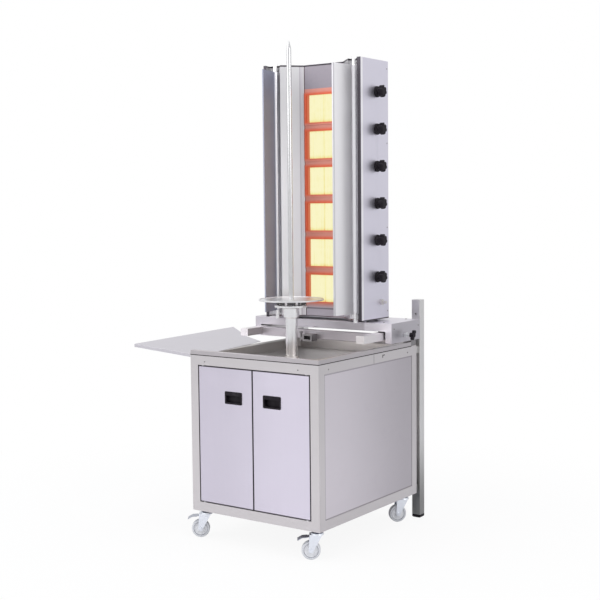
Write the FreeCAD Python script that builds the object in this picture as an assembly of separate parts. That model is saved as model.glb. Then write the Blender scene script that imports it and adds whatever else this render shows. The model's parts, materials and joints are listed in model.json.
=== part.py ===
import FreeCAD, Part
import math
import os

from FreeCAD import Vector

# Doner kebab grill on a wheeled cabinet: six gas burners stacked in a tower that slides on two rails
# behind a driven vertical spit. Millimetres, X to the right, Y to the back, Z up.
# The pieces are drawn from the cabinet's front left corner at floor level, and moved at the very end
# so that the origin is the middle of the whole machine at the floor.

# cabinet
cabinet_width = 650.0
cabinet_depth = 760.0
cabinet_height = 660.0
frame_tube = 40.0
tube_wall = 2.0
sheet = 1.5
door_gap = 3.0
door_depth = 20.0
panel_lip = 16.0
panel_step = 0.8

# door handles and pivots
handle_width = 88.0
handle_height = 52.0
handle_depth = 16.0
handle_from_middle = 98.0
handle_below_opening = 125.0
pivot_inset = 18.0
pivot_radius = 4.0
running_gap = 0.05
face_gap = 0.3

# rim and drip tray
rim_width = 20.0
rim_height = 18.5
rim_joint_from_back = 354.0
tray_depth = 40.0

# rails, posts and cross beam
rail_inset = 3.0
rail_width = 40.0
rail_height = 32.0
rail_length = 440.0
rail_lift = 48.0
post_tube = 40.0
post_back_gap = 15.0
post_outset = 8.0
post_rise = 200.0
post_bottom = 4.0
post_cap_height = 14.0
post_hole_radius = 3.5
post_hole_drop = 63.0
beam_inset = 105.0
beam_height = 36.0

# spit and drive
spit_to_burners = 251.0
column_rise = 189.0
column_radius = 25.5
column_wall = 3.0
collar_step = 7.0
collar_height = 42.0
base_step = 26.5
shaft_radius = 10.0
flange_radius = 71.0
flange_thickness = 8.0
dog_radius = 6.0
dog_from_edge = 14.0
dog_count = 8
disc_lift = 20.0
disc_radius = 137.0
disc_thickness = 6.0
skewer_radius = 10.0
skewer_above_tower = 69.0
cradle_drop = 34.0
cradle_width = 150.0
motor_radius = 46.0
motor_fins = 20

# carriage
carriage_overhang = 34.0
guide_gap = 5.5
carriage_back_gap = 28.0
carriage_depth = 240.0
carriage_height = 40.0
skirt_drop = 45.0
carriage_wall = 2.0
pad_thickness = 4.5

# tower
tower_ahead = 62.0
tower_depth = 221.0
tower_foot = 8.0
header_height = 93.2
tower_return = 16.0
cap_thickness = 2.0
vent_rows = 3
vent_columns = 3
vent_length = 100.0
vent_width = 7.0
vent_pitch = 20.0
flare = 75.0
pocket_depth = 17.0
pocket_width = 57.0
face_inset = 96.0
face_margin = 14.0

# burners
burner_count = 6
burner_gap = 38.3
glow_rise = 68.0
glow_width = 176.0
glow_height = 118.0
plaque_lap = 4.0
plaque_overhang = 7.0
plaque_thickness = 13.0
casing_depth = 58.0
burner_rim = 4.0
casing_lip = 2.0

# controls
knob_radius = 24.0
knob_length = 38.0
knob_lobes = 6
knob_inset = 128.0
knob_above_glow = 115.0
manifold_tube = 16.0
inlet_behind_knobs = 28.0
nipple_radius = 6.0
nipple_length = 16.0

# wings
wing_from_flare = 27.5
wing_inset = 25.0
wing_length = 128.0
wing_turn = 11.0
wing_above_floor = 30.0
wing_below_top = 28.0
wing_tube_radius = 9.5
wing_pin_radius = 6.0
pin_overrun = 7.0

# lock screw on the right skirt
lock_inset = 108.0
lock_radius = 7.0
lock_reach = 44.0

# side shelf
shelf_slope = 0.07
shelf_tongue = 60.0

# casters
caster_inset = 40.0
rear_caster_inset = 54.0
caster_room = 44.0
wheel_radius = 38.0
wheel_width = 26.0
caster_trail = 25.0
axle_radius = 4.0
fork_plate = 2.5
caster_heading = 215.5

os.makedirs("parts", exist_ok=True)

# cabinet: heights and places that follow
cabinet_bottom = 2 * wheel_radius + caster_room
cabinet_top = cabinet_bottom + cabinet_height
opening_top = cabinet_top - frame_tube
opening_bottom = cabinet_bottom + frame_tube
tray_floor = cabinet_top - tray_depth
cradle_z = opening_top - cradle_drop
rim_joint = cabinet_depth - rim_joint_from_back
rail_bottom = cabinet_top + rail_lift
rail_top = rail_bottom + rail_height
post_front = cabinet_depth + post_back_gap
post_top = cabinet_top + post_rise
rail_front = post_front - rail_length
beam_front = rail_front + beam_inset

# carriage, tower and spit
carriage_front = cabinet_depth - carriage_back_gap - carriage_depth
carriage_bottom = rail_top + face_gap + pad_thickness
carriage_top = rail_top + carriage_height
lock_y = carriage_front + lock_inset
lock_z = rail_bottom + rail_height / 2 + 1
burner_pitch = glow_height + burner_gap
tower_bottom = carriage_top + tower_foot
glow_bottom = tower_bottom + glow_rise
tower_top = glow_bottom + burner_count * burner_pitch + header_height
tower_front = carriage_front - tower_ahead
tower_back = tower_front + tower_depth
face_y = tower_front + face_inset
opening_width = glow_width + 2 * face_margin
tower_width = opening_width + 2 * (flare + pocket_width + tower_return)
knob_y = tower_front + knob_inset
inlet_y = knob_y + inlet_behind_knobs
inlet_z = glow_bottom + 5
spit_x = cabinet_width / 2
spit_y = face_y - spit_to_burners
tower_left = spit_x - tower_width / 2
tower_right = spit_x + tower_width / 2
wing_x = opening_width / 2 + flare + wing_from_flare
wing_y = tower_front + wing_inset
wing_bottom = tower_bottom + wing_above_floor
wing_top = tower_top - wing_below_top
pin_top = tower_top + pin_overrun
pin_bottom = tower_bottom - pin_overrun - 1
column_top = cabinet_top + column_rise
collar_radius = column_radius + collar_step
flange_bottom = column_top + 4
disc_bottom = flange_bottom + flange_thickness + disc_lift
skewer_top = tower_top + skewer_above_tower

# casters
pedal_x = caster_trail + 1
pedal_pin = 2.5
pedal_z = cabinet_bottom - 28

parts = {}


def box(x0, x1, y0, y1, z0, z1):
    return Part.makeBox(x1 - x0, y1 - y0, z1 - z0, Vector(x0, y0, z0))


def rod(radius, start, end):
    """A round bar between two points."""
    line = Vector(*end) - Vector(*start)
    return Part.makeCylinder(radius, line.Length, Vector(*start), line)


def hex_bar(radius, start, end):
    """A hexagonal bar between two points, measured across its corners."""
    line = Vector(*end) - Vector(*start)
    corners = [Vector(radius * math.cos(math.pi * i / 3), radius * math.sin(math.pi * i / 3), 0) for i in range(6)]
    bar = Part.Face(Part.makePolygon(corners + corners[:1])).extrude(Vector(0, 0, line.Length))
    bar.Placement = FreeCAD.Placement(Vector(*start), FreeCAD.Rotation(Vector(0, 0, 1), line))
    return bar


def prism(outline, z0, z1):
    """A plan outline raised from z0 to z1."""
    points = [Vector(x, y, z0) for x, y in outline]
    face = Part.Face(Part.makePolygon(points + points[:1]))
    return face.extrude(Vector(0, 0, z1 - z0))


def profile_y(outline, y0, y1):
    """An outline in X and Z drawn along Y."""
    points = [Vector(x, y0, z) for x, z in outline]
    face = Part.Face(Part.makePolygon(points + points[:1]))
    return face.extrude(Vector(0, y1 - y0, 0))


def folded(line, thickness):
    """The closed outline of a folded sheet, thickened to the left of its line with mitred bends."""
    sides = []
    for (x0, y0), (x1, y1) in zip(line, line[1:]):
        length = math.hypot(x1 - x0, y1 - y0)
        sides.append((-(y1 - y0) / length, (x1 - x0) / length))
    inner = []
    for i, (x, y) in enumerate(line):
        before = sides[max(i - 1, 0)]
        after = sides[min(i, len(sides) - 1)]
        share = thickness / (1 + before[0] * after[0] + before[1] * after[1])
        inner.append((x + (before[0] + after[0]) * share, y + (before[1] + after[1]) * share))
    return line + inner[::-1]


def square_tube(x0, x1, y0, y1, z0, z1, along, wall=tube_wall):
    """A square tube open at both ends along one axis."""
    inside = {"x": (0, wall, wall), "y": (wall, 0, wall), "z": (wall, wall, 0)}[along]
    core = box(x0 + inside[0], x1 - inside[0], y0 + inside[1], y1 - inside[1], z0 + inside[2], z1 - inside[2])
    return box(x0, x1, y0, y1, z0, z1).cut(core)


def pan(x0, x1, y0, y1, z0, z1, open_side, wall=sheet):
    """A sheet pressed into a shallow box with one side left open."""
    grow = {"+x": (1, 2, 1, 1, 1, 1), "-x": (2, 1, 1, 1, 1, 1), "+y": (1, 1, 1, 2, 1, 1), "-y": (1, 1, 2, 1, 1, 1),
            "+z": (1, 1, 1, 1, 1, 2), "-z": (1, 1, 1, 1, 2, 1)}[open_side]
    shift = [wall if share == 1 else -wall for share in grow]
    core = box(x0 + shift[0], x1 - shift[1], y0 + shift[2], y1 - shift[3], z0 + shift[4], z1 - shift[5])
    return box(x0, x1, y0, y1, z0, z1).cut(core)


def fuse(*shapes):
    whole = shapes[0]
    for shape in shapes[1:]:
        whole = whole.fuse(shape)
    return whole.removeSplitter()


def group(shapes):
    return Part.makeCompound(list(shapes))


def mirrored(shape):
    """The same piece on the other side of the spit's plane."""
    return shape.mirror(Vector(spit_x, 0, 0), Vector(1, 0, 0))


# cabinet

def cabinet_frame():
    """Welded square tubes: four posts, and eight rails between them."""
    w, d, t = cabinet_width, cabinet_depth, frame_tube
    tubes = []
    for x in (0, w - t):
        for y in (0, d - t):
            tubes.append(square_tube(x, x + t, y, y + t, cabinet_bottom, cabinet_top, "z"))
        for z in (cabinet_bottom, cabinet_top - t):
            tubes.append(square_tube(x, x + t, t, d - t, z, z + t, "y"))
    for y in (0, d - t):
        for z in (cabinet_bottom, cabinet_top - t):
            tubes.append(square_tube(t, w - t, y, y + t, z, z + t, "x"))
    return group(tubes)


def side_panel():
    """A flush panel in the right side opening, its edges folded inwards."""
    return pan(cabinet_width - panel_lip, cabinet_width - panel_step, frame_tube, cabinet_depth - frame_tube,
               opening_bottom, opening_top, "-x")


def back_panel():
    return pan(frame_tube, cabinet_width - frame_tube, cabinet_depth - panel_lip, cabinet_depth - panel_step,
               opening_bottom, opening_top, "-y")


def floor_panel():
    """The cabinet's floor lies on the bottom rails, notched round the four posts."""
    edge = 22.0
    t = frame_tube
    plate = box(edge, cabinet_width - edge, edge + door_gap, cabinet_depth - edge, opening_bottom, opening_bottom + sheet)
    for x in (0, cabinet_width - t):
        for y in (0, cabinet_depth - t):
            plate = plate.cut(box(x, x + t, y, y + t, opening_bottom - 1, opening_bottom + sheet + 1))
    return plate


def door(x0, x1, handle_x, pivot_x):
    """A door pan, open at the back, with a window for the handle and a pivot hole at top and bottom."""
    z0 = opening_bottom + door_gap
    z1 = opening_top - door_gap
    leaf = pan(x0, x1, 0, door_depth, z0, z1, "+y")
    inset = 12.0
    rims = [box(x0, x0 + inset, door_depth - sheet, door_depth, z0, z1),
            box(x1 - inset, x1, door_depth - sheet, door_depth, z0, z1)]
    leaf = fuse(leaf, *rims)
    handle_z = opening_top - handle_below_opening
    window = box(handle_x - handle_width / 2 + 4, handle_x + handle_width / 2 - 4, -1, sheet + 1,
                 handle_z - handle_height / 2 + 4, handle_z + handle_height / 2 - 4)
    leaf = leaf.cut(window)
    hole = rod(pivot_radius + running_gap, (pivot_x, door_depth / 2, z0 - 1), (pivot_x, door_depth / 2, z1 + 1))
    return leaf.cut(hole)


def door_handle(handle_x):
    """A black cup handle: a dished tray behind the door with a finger lip along its top."""
    handle_z = opening_top - handle_below_opening
    half_w = handle_width / 2
    half_h = handle_height / 2
    rim = box(handle_x - half_w, handle_x + half_w, -2.0, 0, handle_z - half_h, handle_z + half_h)
    rim = rim.makeFillet(5.0, [e for e in rim.Edges if abs(e.Vertexes[0].Y - e.Vertexes[1].Y) > 1])
    cup = box(handle_x - half_w + 4.4, handle_x + half_w - 4.4, 0, handle_depth,
              handle_z - half_h + 4.4, handle_z + half_h - 4.4)
    body = fuse(rim, cup)
    hollow = box(handle_x - half_w + 7, handle_x + half_w - 7, -3, handle_depth - 2.5,
                 handle_z - half_h + 7, handle_z + half_h - 16)
    behind_lip = box(handle_x - half_w + 7, handle_x + half_w - 7, 1.5, handle_depth - 2.5,
                     handle_z - half_h + 7, handle_z + half_h - 7)
    return body.cut(hollow).cut(behind_lip)


def door_pivots(x):
    """The pins a door turns on, each with a washer, standing on the bottom rail and hanging from the top one."""
    y = door_depth / 2
    washer = door_gap - face_gap
    reach = door_gap + sheet + 8
    low = fuse(rod(pivot_radius, (x, y, opening_bottom), (x, y, opening_bottom + reach)),
               rod(pivot_radius * 2, (x, y, opening_bottom), (x, y, opening_bottom + washer)))
    high = fuse(rod(pivot_radius, (x, y, opening_top), (x, y, opening_top - reach)),
                rod(pivot_radius * 2, (x, y, opening_top), (x, y, opening_top - washer)))
    return [low, high]


def door_stops():
    """Magnetic catches under the top front rail that the doors close against."""
    stops = []
    for side in (-1, 1):
        x = spit_x + side * 30
        stops.append(fuse(box(x - 20, x + 20, door_depth + 1, door_depth + 13, opening_top - 16, opening_top),
                          box(x - 14, x + 14, door_depth + face_gap, door_depth + 1, opening_top - 13, opening_top - 5)))
    return group(stops)


# top: drip tray, rim and rails

def drip_tray():
    """A deep pan hung in the frame by a flange, with a raised sleeve where the spit column passes."""
    t = frame_tube
    gap = 2.0
    flange = box(0, cabinet_width, 0, cabinet_depth, cabinet_top, cabinet_top + sheet)
    well = box(t + gap, cabinet_width - t - gap, t + gap, cabinet_depth - t - gap, tray_floor, cabinet_top + sheet)
    inside = box(t + gap + sheet, cabinet_width - t - gap - sheet, t + gap + sheet, cabinet_depth - t - gap - sheet,
                 tray_floor + sheet, cabinet_top + sheet + 1)
    upright = [e for e in inside.Edges if abs(e.Vertexes[0].Z - e.Vertexes[1].Z) > 1]
    inside = inside.makeFillet(18.0, upright)
    upright = [e for e in well.Edges if abs(e.Vertexes[0].Z - e.Vertexes[1].Z) > 1]
    well = well.makeFillet(18.0 + sheet, upright)
    sleeve_radius = column_radius + 4.5
    tray = fuse(flange, well).cut(inside)
    sleeve = rod(sleeve_radius, (spit_x, spit_y, tray_floor), (spit_x, spit_y, tray_floor + 26))
    tray = tray.fuse(sleeve)
    bore = rod(sleeve_radius - sheet, (spit_x, spit_y, tray_floor - 1), (spit_x, spit_y, tray_floor + 27))
    return tray.cut(bore).removeSplitter()


def rim_section(x0, x1, y0, y1):
    return box(x0, x1, y0, y1, cabinet_top + sheet, cabinet_top + sheet + rim_height)


def rim_channel(x0, x1, y0, y1, cap):
    """A length of rim folded like an upturned channel; cap names the ends that are closed."""
    solid = box(x0, x1, y0, y1, cabinet_top + sheet, cabinet_top + sheet + rim_height)
    ends = [sheet if side in cap else -sheet for side in ("x0", "x1", "y0", "y1")]
    hollow = box(x0 + ends[0], x1 - ends[1], y0 + ends[2], y1 - ends[3], cabinet_top, cabinet_top + rim_height)
    return solid.cut(hollow)


def top_rim():
    """The raised rim round the front, right side and back; the left side is open."""
    w, d, r = cabinet_width, cabinet_depth, rim_width
    joint = rim_joint
    stand = rail_inset + rail_width
    return [rim_channel(0, w, 0, r, ("x0", "x1", "y0", "y1")),
            rim_channel(w - r, w, r, joint - 0.6, ("x0", "x1")),
            rim_channel(w - r, w, joint + 0.6, d - frame_tube - 6, ("x0", "x1", "y1")),
            rim_channel(stand, w - stand, d - r, d, ("x0", "x1", "y0", "y1"))]


def rail(x0):
    """A square tube whose front end is closed and whose back end meets the post."""
    tube = square_tube(x0, x0 + rail_width, rail_front, post_front, rail_bottom, rail_top, "y")
    return fuse(tube, box(x0, x0 + rail_width, rail_front, rail_front + tube_wall, rail_bottom, rail_top))


def rail_stands():
    """Short tubes that carry the rails above the back corners of the cabinet."""
    y1 = cabinet_depth
    stands = []
    for x0 in (rail_inset, cabinet_width - rail_inset - rail_width):
        stands.append(square_tube(x0, x0 + rail_width, y1 - frame_tube, y1, cabinet_top + sheet, rail_bottom, "z"))
    return group(stands)


def cross_beam():
    """A tube between the rails, with a stop block for the carriage latch on its front."""
    x0 = rail_inset + rail_width
    x1 = cabinet_width - x0
    z1 = rail_top - 2
    return square_tube(x0, x1, beam_front, beam_front + frame_tube, z1 - beam_height, z1, "x")


def rail_stop():
    """A welded block on the beam's front with an upright stop bolt beside it."""
    x0 = spit_x - 33
    z1 = rail_top - 15
    block = box(x0, x0 + 48, beam_front - 40, beam_front, z1 - 30, z1)
    slot = box(x0 + 7, x0 + 41, beam_front - 41, beam_front - 10, z1 - 23, z1 - 7)
    x = x0 - 22
    y = beam_front - 20
    shank = rod(5.0, (x, y, z1 - 34), (x, y, z1 + 8))
    head = rod(8.0, (x, y, z1 + 2), (x, y, z1 + 9))
    lug = box(x, x0 + 1, y - 7, y + 7, z1 - 26, z1 - 16)
    return fuse(block.cut(slot), shank, head, lug)


def rear_post():
    """A tall square post on two spacers behind the right back corner, drilled through near its top."""
    x1 = cabinet_width + post_outset
    x0 = x1 - post_tube
    y0 = post_front
    tube = square_tube(x0, x1, y0, y0 + post_tube, post_bottom + post_cap_height, post_top, "z")
    lid = box(x0, x1, y0, y0 + post_tube, post_top - tube_wall, post_top)
    middle = (x0 + x1) / 2
    z = post_top - post_hole_drop
    hole = rod(post_hole_radius, (middle, y0 - 1, z), (middle, y0 + post_tube + 1, z))
    spacers = [box(x0 + 4, cabinet_width - 4, cabinet_depth, y0, base, base + 30)
               for base in (opening_top + 4, cabinet_bottom + 6)]
    return [fuse(tube, lid).cut(hole)] + spacers


def post_foot():
    """A plastic plug that closes the post's lower end."""
    x1 = cabinet_width + post_outset
    x0 = x1 - post_tube
    y0 = post_front
    pad = box(x0, x1, y0, y0 + post_tube, post_bottom, post_bottom + post_cap_height)
    lower = [e for e in pad.Edges if max(v.Z for v in e.Vertexes) < post_bottom + 0.1]
    pad = pad.makeChamfer(4.0, lower)
    w = tube_wall
    plug = box(x0 + w, x1 - w, y0 + w, y0 + post_tube - w, post_bottom + post_cap_height,
               post_bottom + post_cap_height + 25)
    return fuse(pad, plug)


# spit

def spit_column():
    """The fixed column: a base flange on the cradle and a tube up to the top bearing."""
    base = rod(column_radius + base_step, (spit_x, spit_y, cradle_z + 3), (spit_x, spit_y, cradle_z + 11))
    tube = rod(column_radius, (spit_x, spit_y, cradle_z + 3), (spit_x, spit_y, column_top - collar_height))
    bore = rod(column_radius - column_wall, (spit_x, spit_y, cradle_z), (spit_x, spit_y, column_top))
    column = fuse(base, tube).cut(bore)
    for k in range(4):
        turn = math.radians(45 + 90 * k)
        x = spit_x + (column_radius + base_step / 2) * math.cos(turn)
        y = spit_y + (column_radius + base_step / 2) * math.sin(turn)
        column = column.cut(rod(4.2, (x, y, cradle_z), (x, y, cradle_z + 12)))
    return column


def column_bearing():
    """The collar that closes the column's top and carries the shaft."""
    z0 = column_top - collar_height
    points = [(shaft_radius + running_gap, z0), (collar_radius - 3, z0), (collar_radius, z0 + 3),
              (collar_radius, column_top - 2), (collar_radius - 2, column_top),
              (shaft_radius + running_gap, column_top)]
    face = Part.Face(Part.makePolygon([Vector(r, 0, z) for r, z in points + points[:1]]))
    ring = face.revolve(Vector(0, 0, 0), Vector(0, 0, 1), 360)
    ring.translate(Vector(spit_x, spit_y, 0))
    return ring


def drive_shaft():
    return rod(shaft_radius, (spit_x, spit_y, cradle_z - 20), (spit_x, spit_y, flange_bottom))


def drive_flange():
    """A round driving plate with a ring of dogs that the spit's disc sits on."""
    z = flange_bottom
    plate = rod(flange_radius, (spit_x, spit_y, z), (spit_x, spit_y, z + flange_thickness))
    top = z + flange_thickness
    boss = rod(18.0, (spit_x, spit_y, top), (spit_x, spit_y, top + disc_lift))
    dogs = []
    for k in range(dog_count):
        turn = 2 * math.pi * k / dog_count
        x = spit_x + (flange_radius - dog_from_edge) * math.cos(turn)
        y = spit_y + (flange_radius - dog_from_edge) * math.sin(turn)
        dogs.append(rod(dog_radius, (x, y, top), (x, y, top + disc_lift)))
    return fuse(plate, boss, *dogs)


def spit_disc():
    """The round plate under the meat, with a low turned-up edge."""
    z = disc_bottom
    r = disc_radius
    t = disc_thickness
    points = [(0, z), (r, z), (r, z + t), (r - 3, z + t), (r - 6, z + t - 2), (0, z + t - 2)]
    face = Part.Face(Part.makePolygon([Vector(a, 0, b) for a, b in points + points[:1]]))
    disc = face.revolve(Vector(0, 0, 0), Vector(0, 0, 1), 360)
    disc.translate(Vector(spit_x, spit_y, 0))
    return disc


def skewer():
    """The long spit rod with a blunt tapered tip."""
    z0 = disc_bottom + disc_thickness - 2
    taper = 34.0
    bar = rod(skewer_radius, (spit_x, spit_y, z0), (spit_x, spit_y, skewer_top - taper))
    tip = Part.makeCone(skewer_radius, 3.0, taper - 3, Vector(spit_x, spit_y, skewer_top - taper))
    point = Part.makeSphere(3.0, Vector(spit_x, spit_y, skewer_top - 3))
    return fuse(bar, tip, point)


def motor_cradle():
    """A folded cross member hung under the side rails, open for the shaft."""
    t = frame_tube
    z = cradle_z
    top = opening_top
    wall = 3.0
    tab = panel_lip + 2
    line = [(tab, top - wall), (t + 4, top - wall), (t + 4, z), (cabinet_width - t - 4, z),
            (cabinet_width - t - 4, top - wall), (cabinet_width - tab, top - wall)]
    cradle = profile_y(folded(line, wall), spit_y - cradle_width / 2, spit_y + cradle_width / 2)
    return cradle.cut(rod(shaft_radius + 6, (spit_x, spit_y, z - 5), (spit_x, spit_y, z + 10)))


def gear_motor():
    """A worm gearbox under the cradle with its finned motor lying towards the back."""
    z1 = cradle_z
    gearbox = box(spit_x - 50, spit_x + 50, spit_y - 45, spit_y + 55, z1 - 92, z1)
    gearbox = gearbox.makeFillet(8.0, [e for e in gearbox.Edges if abs(e.Vertexes[0].Z - e.Vertexes[1].Z) > 1])
    motor_z = z1 - 50
    neck = rod(motor_radius - 6, (spit_x, spit_y + 50, motor_z), (spit_x, spit_y + 66, motor_z))
    ridge = []
    for i in range(motor_fins * 4):
        turn = 2 * math.pi * (i + 0.5) / (motor_fins * 4)
        reach = motor_radius - (0, 0, 5, 5)[i % 4]
        ridge.append((spit_x + reach * math.cos(turn), motor_z + reach * math.sin(turn)))
    barrel = profile_y(ridge, spit_y + 66, spit_y + 176)
    cowl = rod(motor_radius, (spit_x, spit_y + 176, motor_z), (spit_x, spit_y + 206, motor_z))
    terminal = box(spit_x + 30, spit_x + 66, spit_y + 90, spit_y + 150, motor_z - 28, motor_z + 28)
    hollow = rod(shaft_radius + 0.05, (spit_x, spit_y, z1 - 40), (spit_x, spit_y, z1 + 1))
    return fuse(gearbox, neck, barrel, cowl, terminal).cut(hollow)


# carriage and tower

def carriage_base():
    """The sliding bed: a folded box over both rails, a box skirt outside each and a latch plate in front."""
    x0 = -carriage_overhang
    x1 = cabinet_width + carriage_overhang
    y0 = carriage_front
    y1 = carriage_front + carriage_depth
    skirt_bottom = rail_top - skirt_drop
    guide = rail_inset - guide_gap
    bed = box(x0, x1, y0, y1, carriage_bottom, carriage_top)
    wall = carriage_wall
    bed = bed.cut(box(x0 + wall, x1 - wall, y0 + wall, y1 - wall, carriage_bottom + wall, carriage_top - wall))
    mouth = box(x0 + 60, x1 - 60, y0 + 30, y1 - 30, carriage_bottom - 1, carriage_bottom + wall + 1)
    bed = bed.cut(mouth)
    legs = []
    for a, b in ((x0, guide), (cabinet_width - guide, x1)):
        legs.append(square_tube(a, b, y0, y1, skirt_bottom, carriage_bottom, "z"))
    bed = fuse(bed, *legs)
    z = lock_z
    hole = rod(lock_radius + running_gap, (cabinet_width - rail_inset, lock_y, z), (x1 + 1, lock_y, z))
    latch = box(spit_x - 92, spit_x - 26, y0 - 16, y0 + 1, carriage_bottom + 1, carriage_bottom + 5)
    return fuse(bed.cut(hole), latch)


def slide_pads():
    """Low-friction strips under the bed, where it rides on the rails."""
    pads = []
    for x0 in (rail_inset + 4, cabinet_width - rail_inset - rail_width + 4):
        for y0 in (carriage_front + 12, carriage_front + carriage_depth - 72):
            pads.append(box(x0, x0 + rail_width - 8, y0, y0 + 60, carriage_bottom - pad_thickness, carriage_bottom))
    return group(pads)


def tower_shell():
    """One sheet folded round the tower's two sides and back, with narrow returns at the front."""
    line = [(tower_right - tower_return, tower_front), (tower_right, tower_front), (tower_right, tower_back),
            (tower_left, tower_back), (tower_left, tower_front), (tower_left + tower_return, tower_front)]
    shell = prism(folded(line, sheet), tower_bottom, tower_top)
    for k in range(burner_count):
        z = glow_bottom + burner_pitch * k + knob_above_glow
        shell = shell.cut(rod(7.0, (tower_right - 5, knob_y, z), (tower_right + 5, knob_y, z)))
    for z in (tower_bottom + 60, tower_top - 60):
        for row in range(vent_rows):
            for column in range(vent_columns):
                x = spit_x + (column - (vent_columns - 1) / 2) * (vent_length + 30)
                base = z + (row - (vent_rows - 1) / 2) * vent_pitch
                shell = shell.cut(box(x - vent_length / 2, x + vent_length / 2, tower_back - 5, tower_back + 1,
                                      base - vent_width / 2, base + vent_width / 2))
    return shell.cut(rod(nipple_radius + 2, (tower_right - 5, inlet_y, inlet_z), (tower_right + 5, inlet_y, inlet_z)))


def cheek():
    """The left cheek: a pocket for the wing's hinge, then a flare at 45 degrees in to the burners."""
    inner = spit_x - opening_width / 2
    pocket = face_y - flare + pocket_depth
    line = [(tower_left + tower_return, tower_front + sheet), (tower_left + tower_return, pocket),
            (inner - flare, pocket), (inner - flare, face_y - flare), (inner, face_y), (inner, face_y + 24)]
    return prism(folded(line, sheet), tower_bottom + 6, tower_top - cap_thickness)


def burner_frame():
    """The plate between the cheeks: header, lower panel and a window for each burner."""
    half = opening_width / 2
    plate = box(spit_x - half, spit_x + half, face_y, face_y + sheet, tower_bottom + 6, tower_top - cap_thickness)
    for k in range(burner_count):
        z = glow_bottom + burner_pitch * k
        edge_x = glow_width / 2 + 9
        edge_z = 9.0
        plate = plate.cut(box(spit_x - edge_x, spit_x + edge_x, face_y - 1, face_y + sheet + 1, z - edge_z,
                              z + glow_height + edge_z))
    return plate


def tower_plate(z0):
    """A flat plate inside the shell whose front edge follows the cheeks."""
    inner = spit_x - opening_width / 2
    pocket = face_y - flare + pocket_depth
    left = [(tower_left + sheet, tower_back - sheet), (tower_left + sheet, pocket), (inner - flare, pocket),
            (inner - flare, face_y - flare), (inner, face_y)]
    right = [(spit_x * 2 - x, y) for x, y in left[::-1]]
    return prism(left + right, z0, z0 + cap_thickness)


def tower_floor():
    """The tower's floor plate with four feet that stand on the sliding bed."""
    plate = tower_plate(tower_bottom)
    feet = []
    for x in (tower_left + 40, tower_right - 40):
        for y in (carriage_front + 20, tower_back - 30):
            feet.append(rod(12.0, (x, y, carriage_top), (x, y, tower_bottom)))
    return fuse(plate, *feet)


def burner_casing(k):
    """A burner's cast casing: a raised rim round the glow, a mixing box and its venturi tube."""
    z0 = glow_bottom + burner_pitch * k
    z1 = z0 + glow_height
    half = glow_width / 2
    rim = box(spit_x - half - 12, spit_x + half + 12, face_y - burner_rim, face_y, z0 - 11, z1 + 11)
    body = box(spit_x - half - 8.5, spit_x + half + 8.5, face_y, face_y + casing_depth, z0 - 8.5, z1 + 8.5)
    casing = fuse(rim, body)
    casing = casing.cut(box(spit_x - half, spit_x + half, face_y - burner_rim - 1, face_y + 6, z0, z1))
    casing = casing.cut(box(spit_x - half - 6.5, spit_x + half + 6.5, face_y + casing_lip,
                            face_y + casing_depth - 3, z0 - 7.5, z1 + 7.5))
    venturi_y = face_y + casing_depth + 12
    venturi_z = z0 + knob_above_glow - 40
    stub = rod(12.0, (spit_x + 30, venturi_y, venturi_z), (tower_right - 66, venturi_y, venturi_z))
    block = box(spit_x + 14, spit_x + 46, face_y + casing_depth - 1, venturi_y + 12, venturi_z - 14, venturi_z + 14)
    return fuse(casing, block, stub)


def burner_plaque(k, side):
    """One of the two ceramic tiles that glow in a burner."""
    z0 = glow_bottom + burner_pitch * k
    width = glow_width / 2 + plaque_lap
    x0 = spit_x if side > 0 else spit_x - width
    y0 = face_y + casing_lip
    return box(x0 + 0.5, x0 + width - 0.5, y0, y0 + plaque_thickness, z0 - plaque_overhang,
               z0 + glow_height + plaque_overhang)


def gas_manifold():
    """The upright gas tube: an inlet nipple at its foot and a branch with a jet for every burner."""
    x = tower_right - 30
    half = manifold_tube / 2
    z0 = inlet_z - 12
    z1 = glow_bottom + burner_pitch * (burner_count - 1) + knob_above_glow + 16
    pipe = box(x - half, x + half, knob_y - half, knob_y + half, z0, z1)
    jet_y = face_y + casing_depth + 12
    for k in range(burner_count):
        z = glow_bottom + burner_pitch * k + knob_above_glow - 40
        arm = box(x - 5, x + 5, knob_y, jet_y + 6, z - 5, z + 5)
        jet = hex_bar(5.0, (x - 1, jet_y, z), (tower_right - 66, jet_y, z))
        pipe = pipe.fuse(arm).fuse(jet)
    wall = tower_right
    boss = rod(12.0, (wall, inlet_y, inlet_z), (wall + 10, inlet_y, inlet_z))
    nipple = rod(nipple_radius, (wall + 10, inlet_y, inlet_z), (wall + 10 + nipple_length, inlet_y, inlet_z))
    stem = rod(nipple_radius, (x, inlet_y, inlet_z), (wall, inlet_y, inlet_z))
    run = rod(nipple_radius, (x, inlet_y, inlet_z), (x, knob_y, inlet_z))
    elbow = Part.makeSphere(nipple_radius, Vector(x, inlet_y, inlet_z))
    return fuse(pipe, boss, nipple, stem, run, elbow)


def gas_valves():
    """A valve body behind every knob, screwed into the manifold."""
    valves = []
    for k in range(burner_count):
        z = glow_bottom + burner_pitch * k + knob_above_glow
        x = tower_right - 30 + manifold_tube / 2
        body = box(x, tower_right - sheet, knob_y - 10, knob_y + 10, z - 10, z + 10)
        neck = rod(6.5, (tower_right - sheet, knob_y, z), (tower_right + 0.6, knob_y, z))
        bore = rod(3.0 + running_gap, (tower_right - 16, knob_y, z), (tower_right + 2, knob_y, z))
        valves.append(fuse(body, neck).cut(bore))
    return group(valves)


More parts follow.
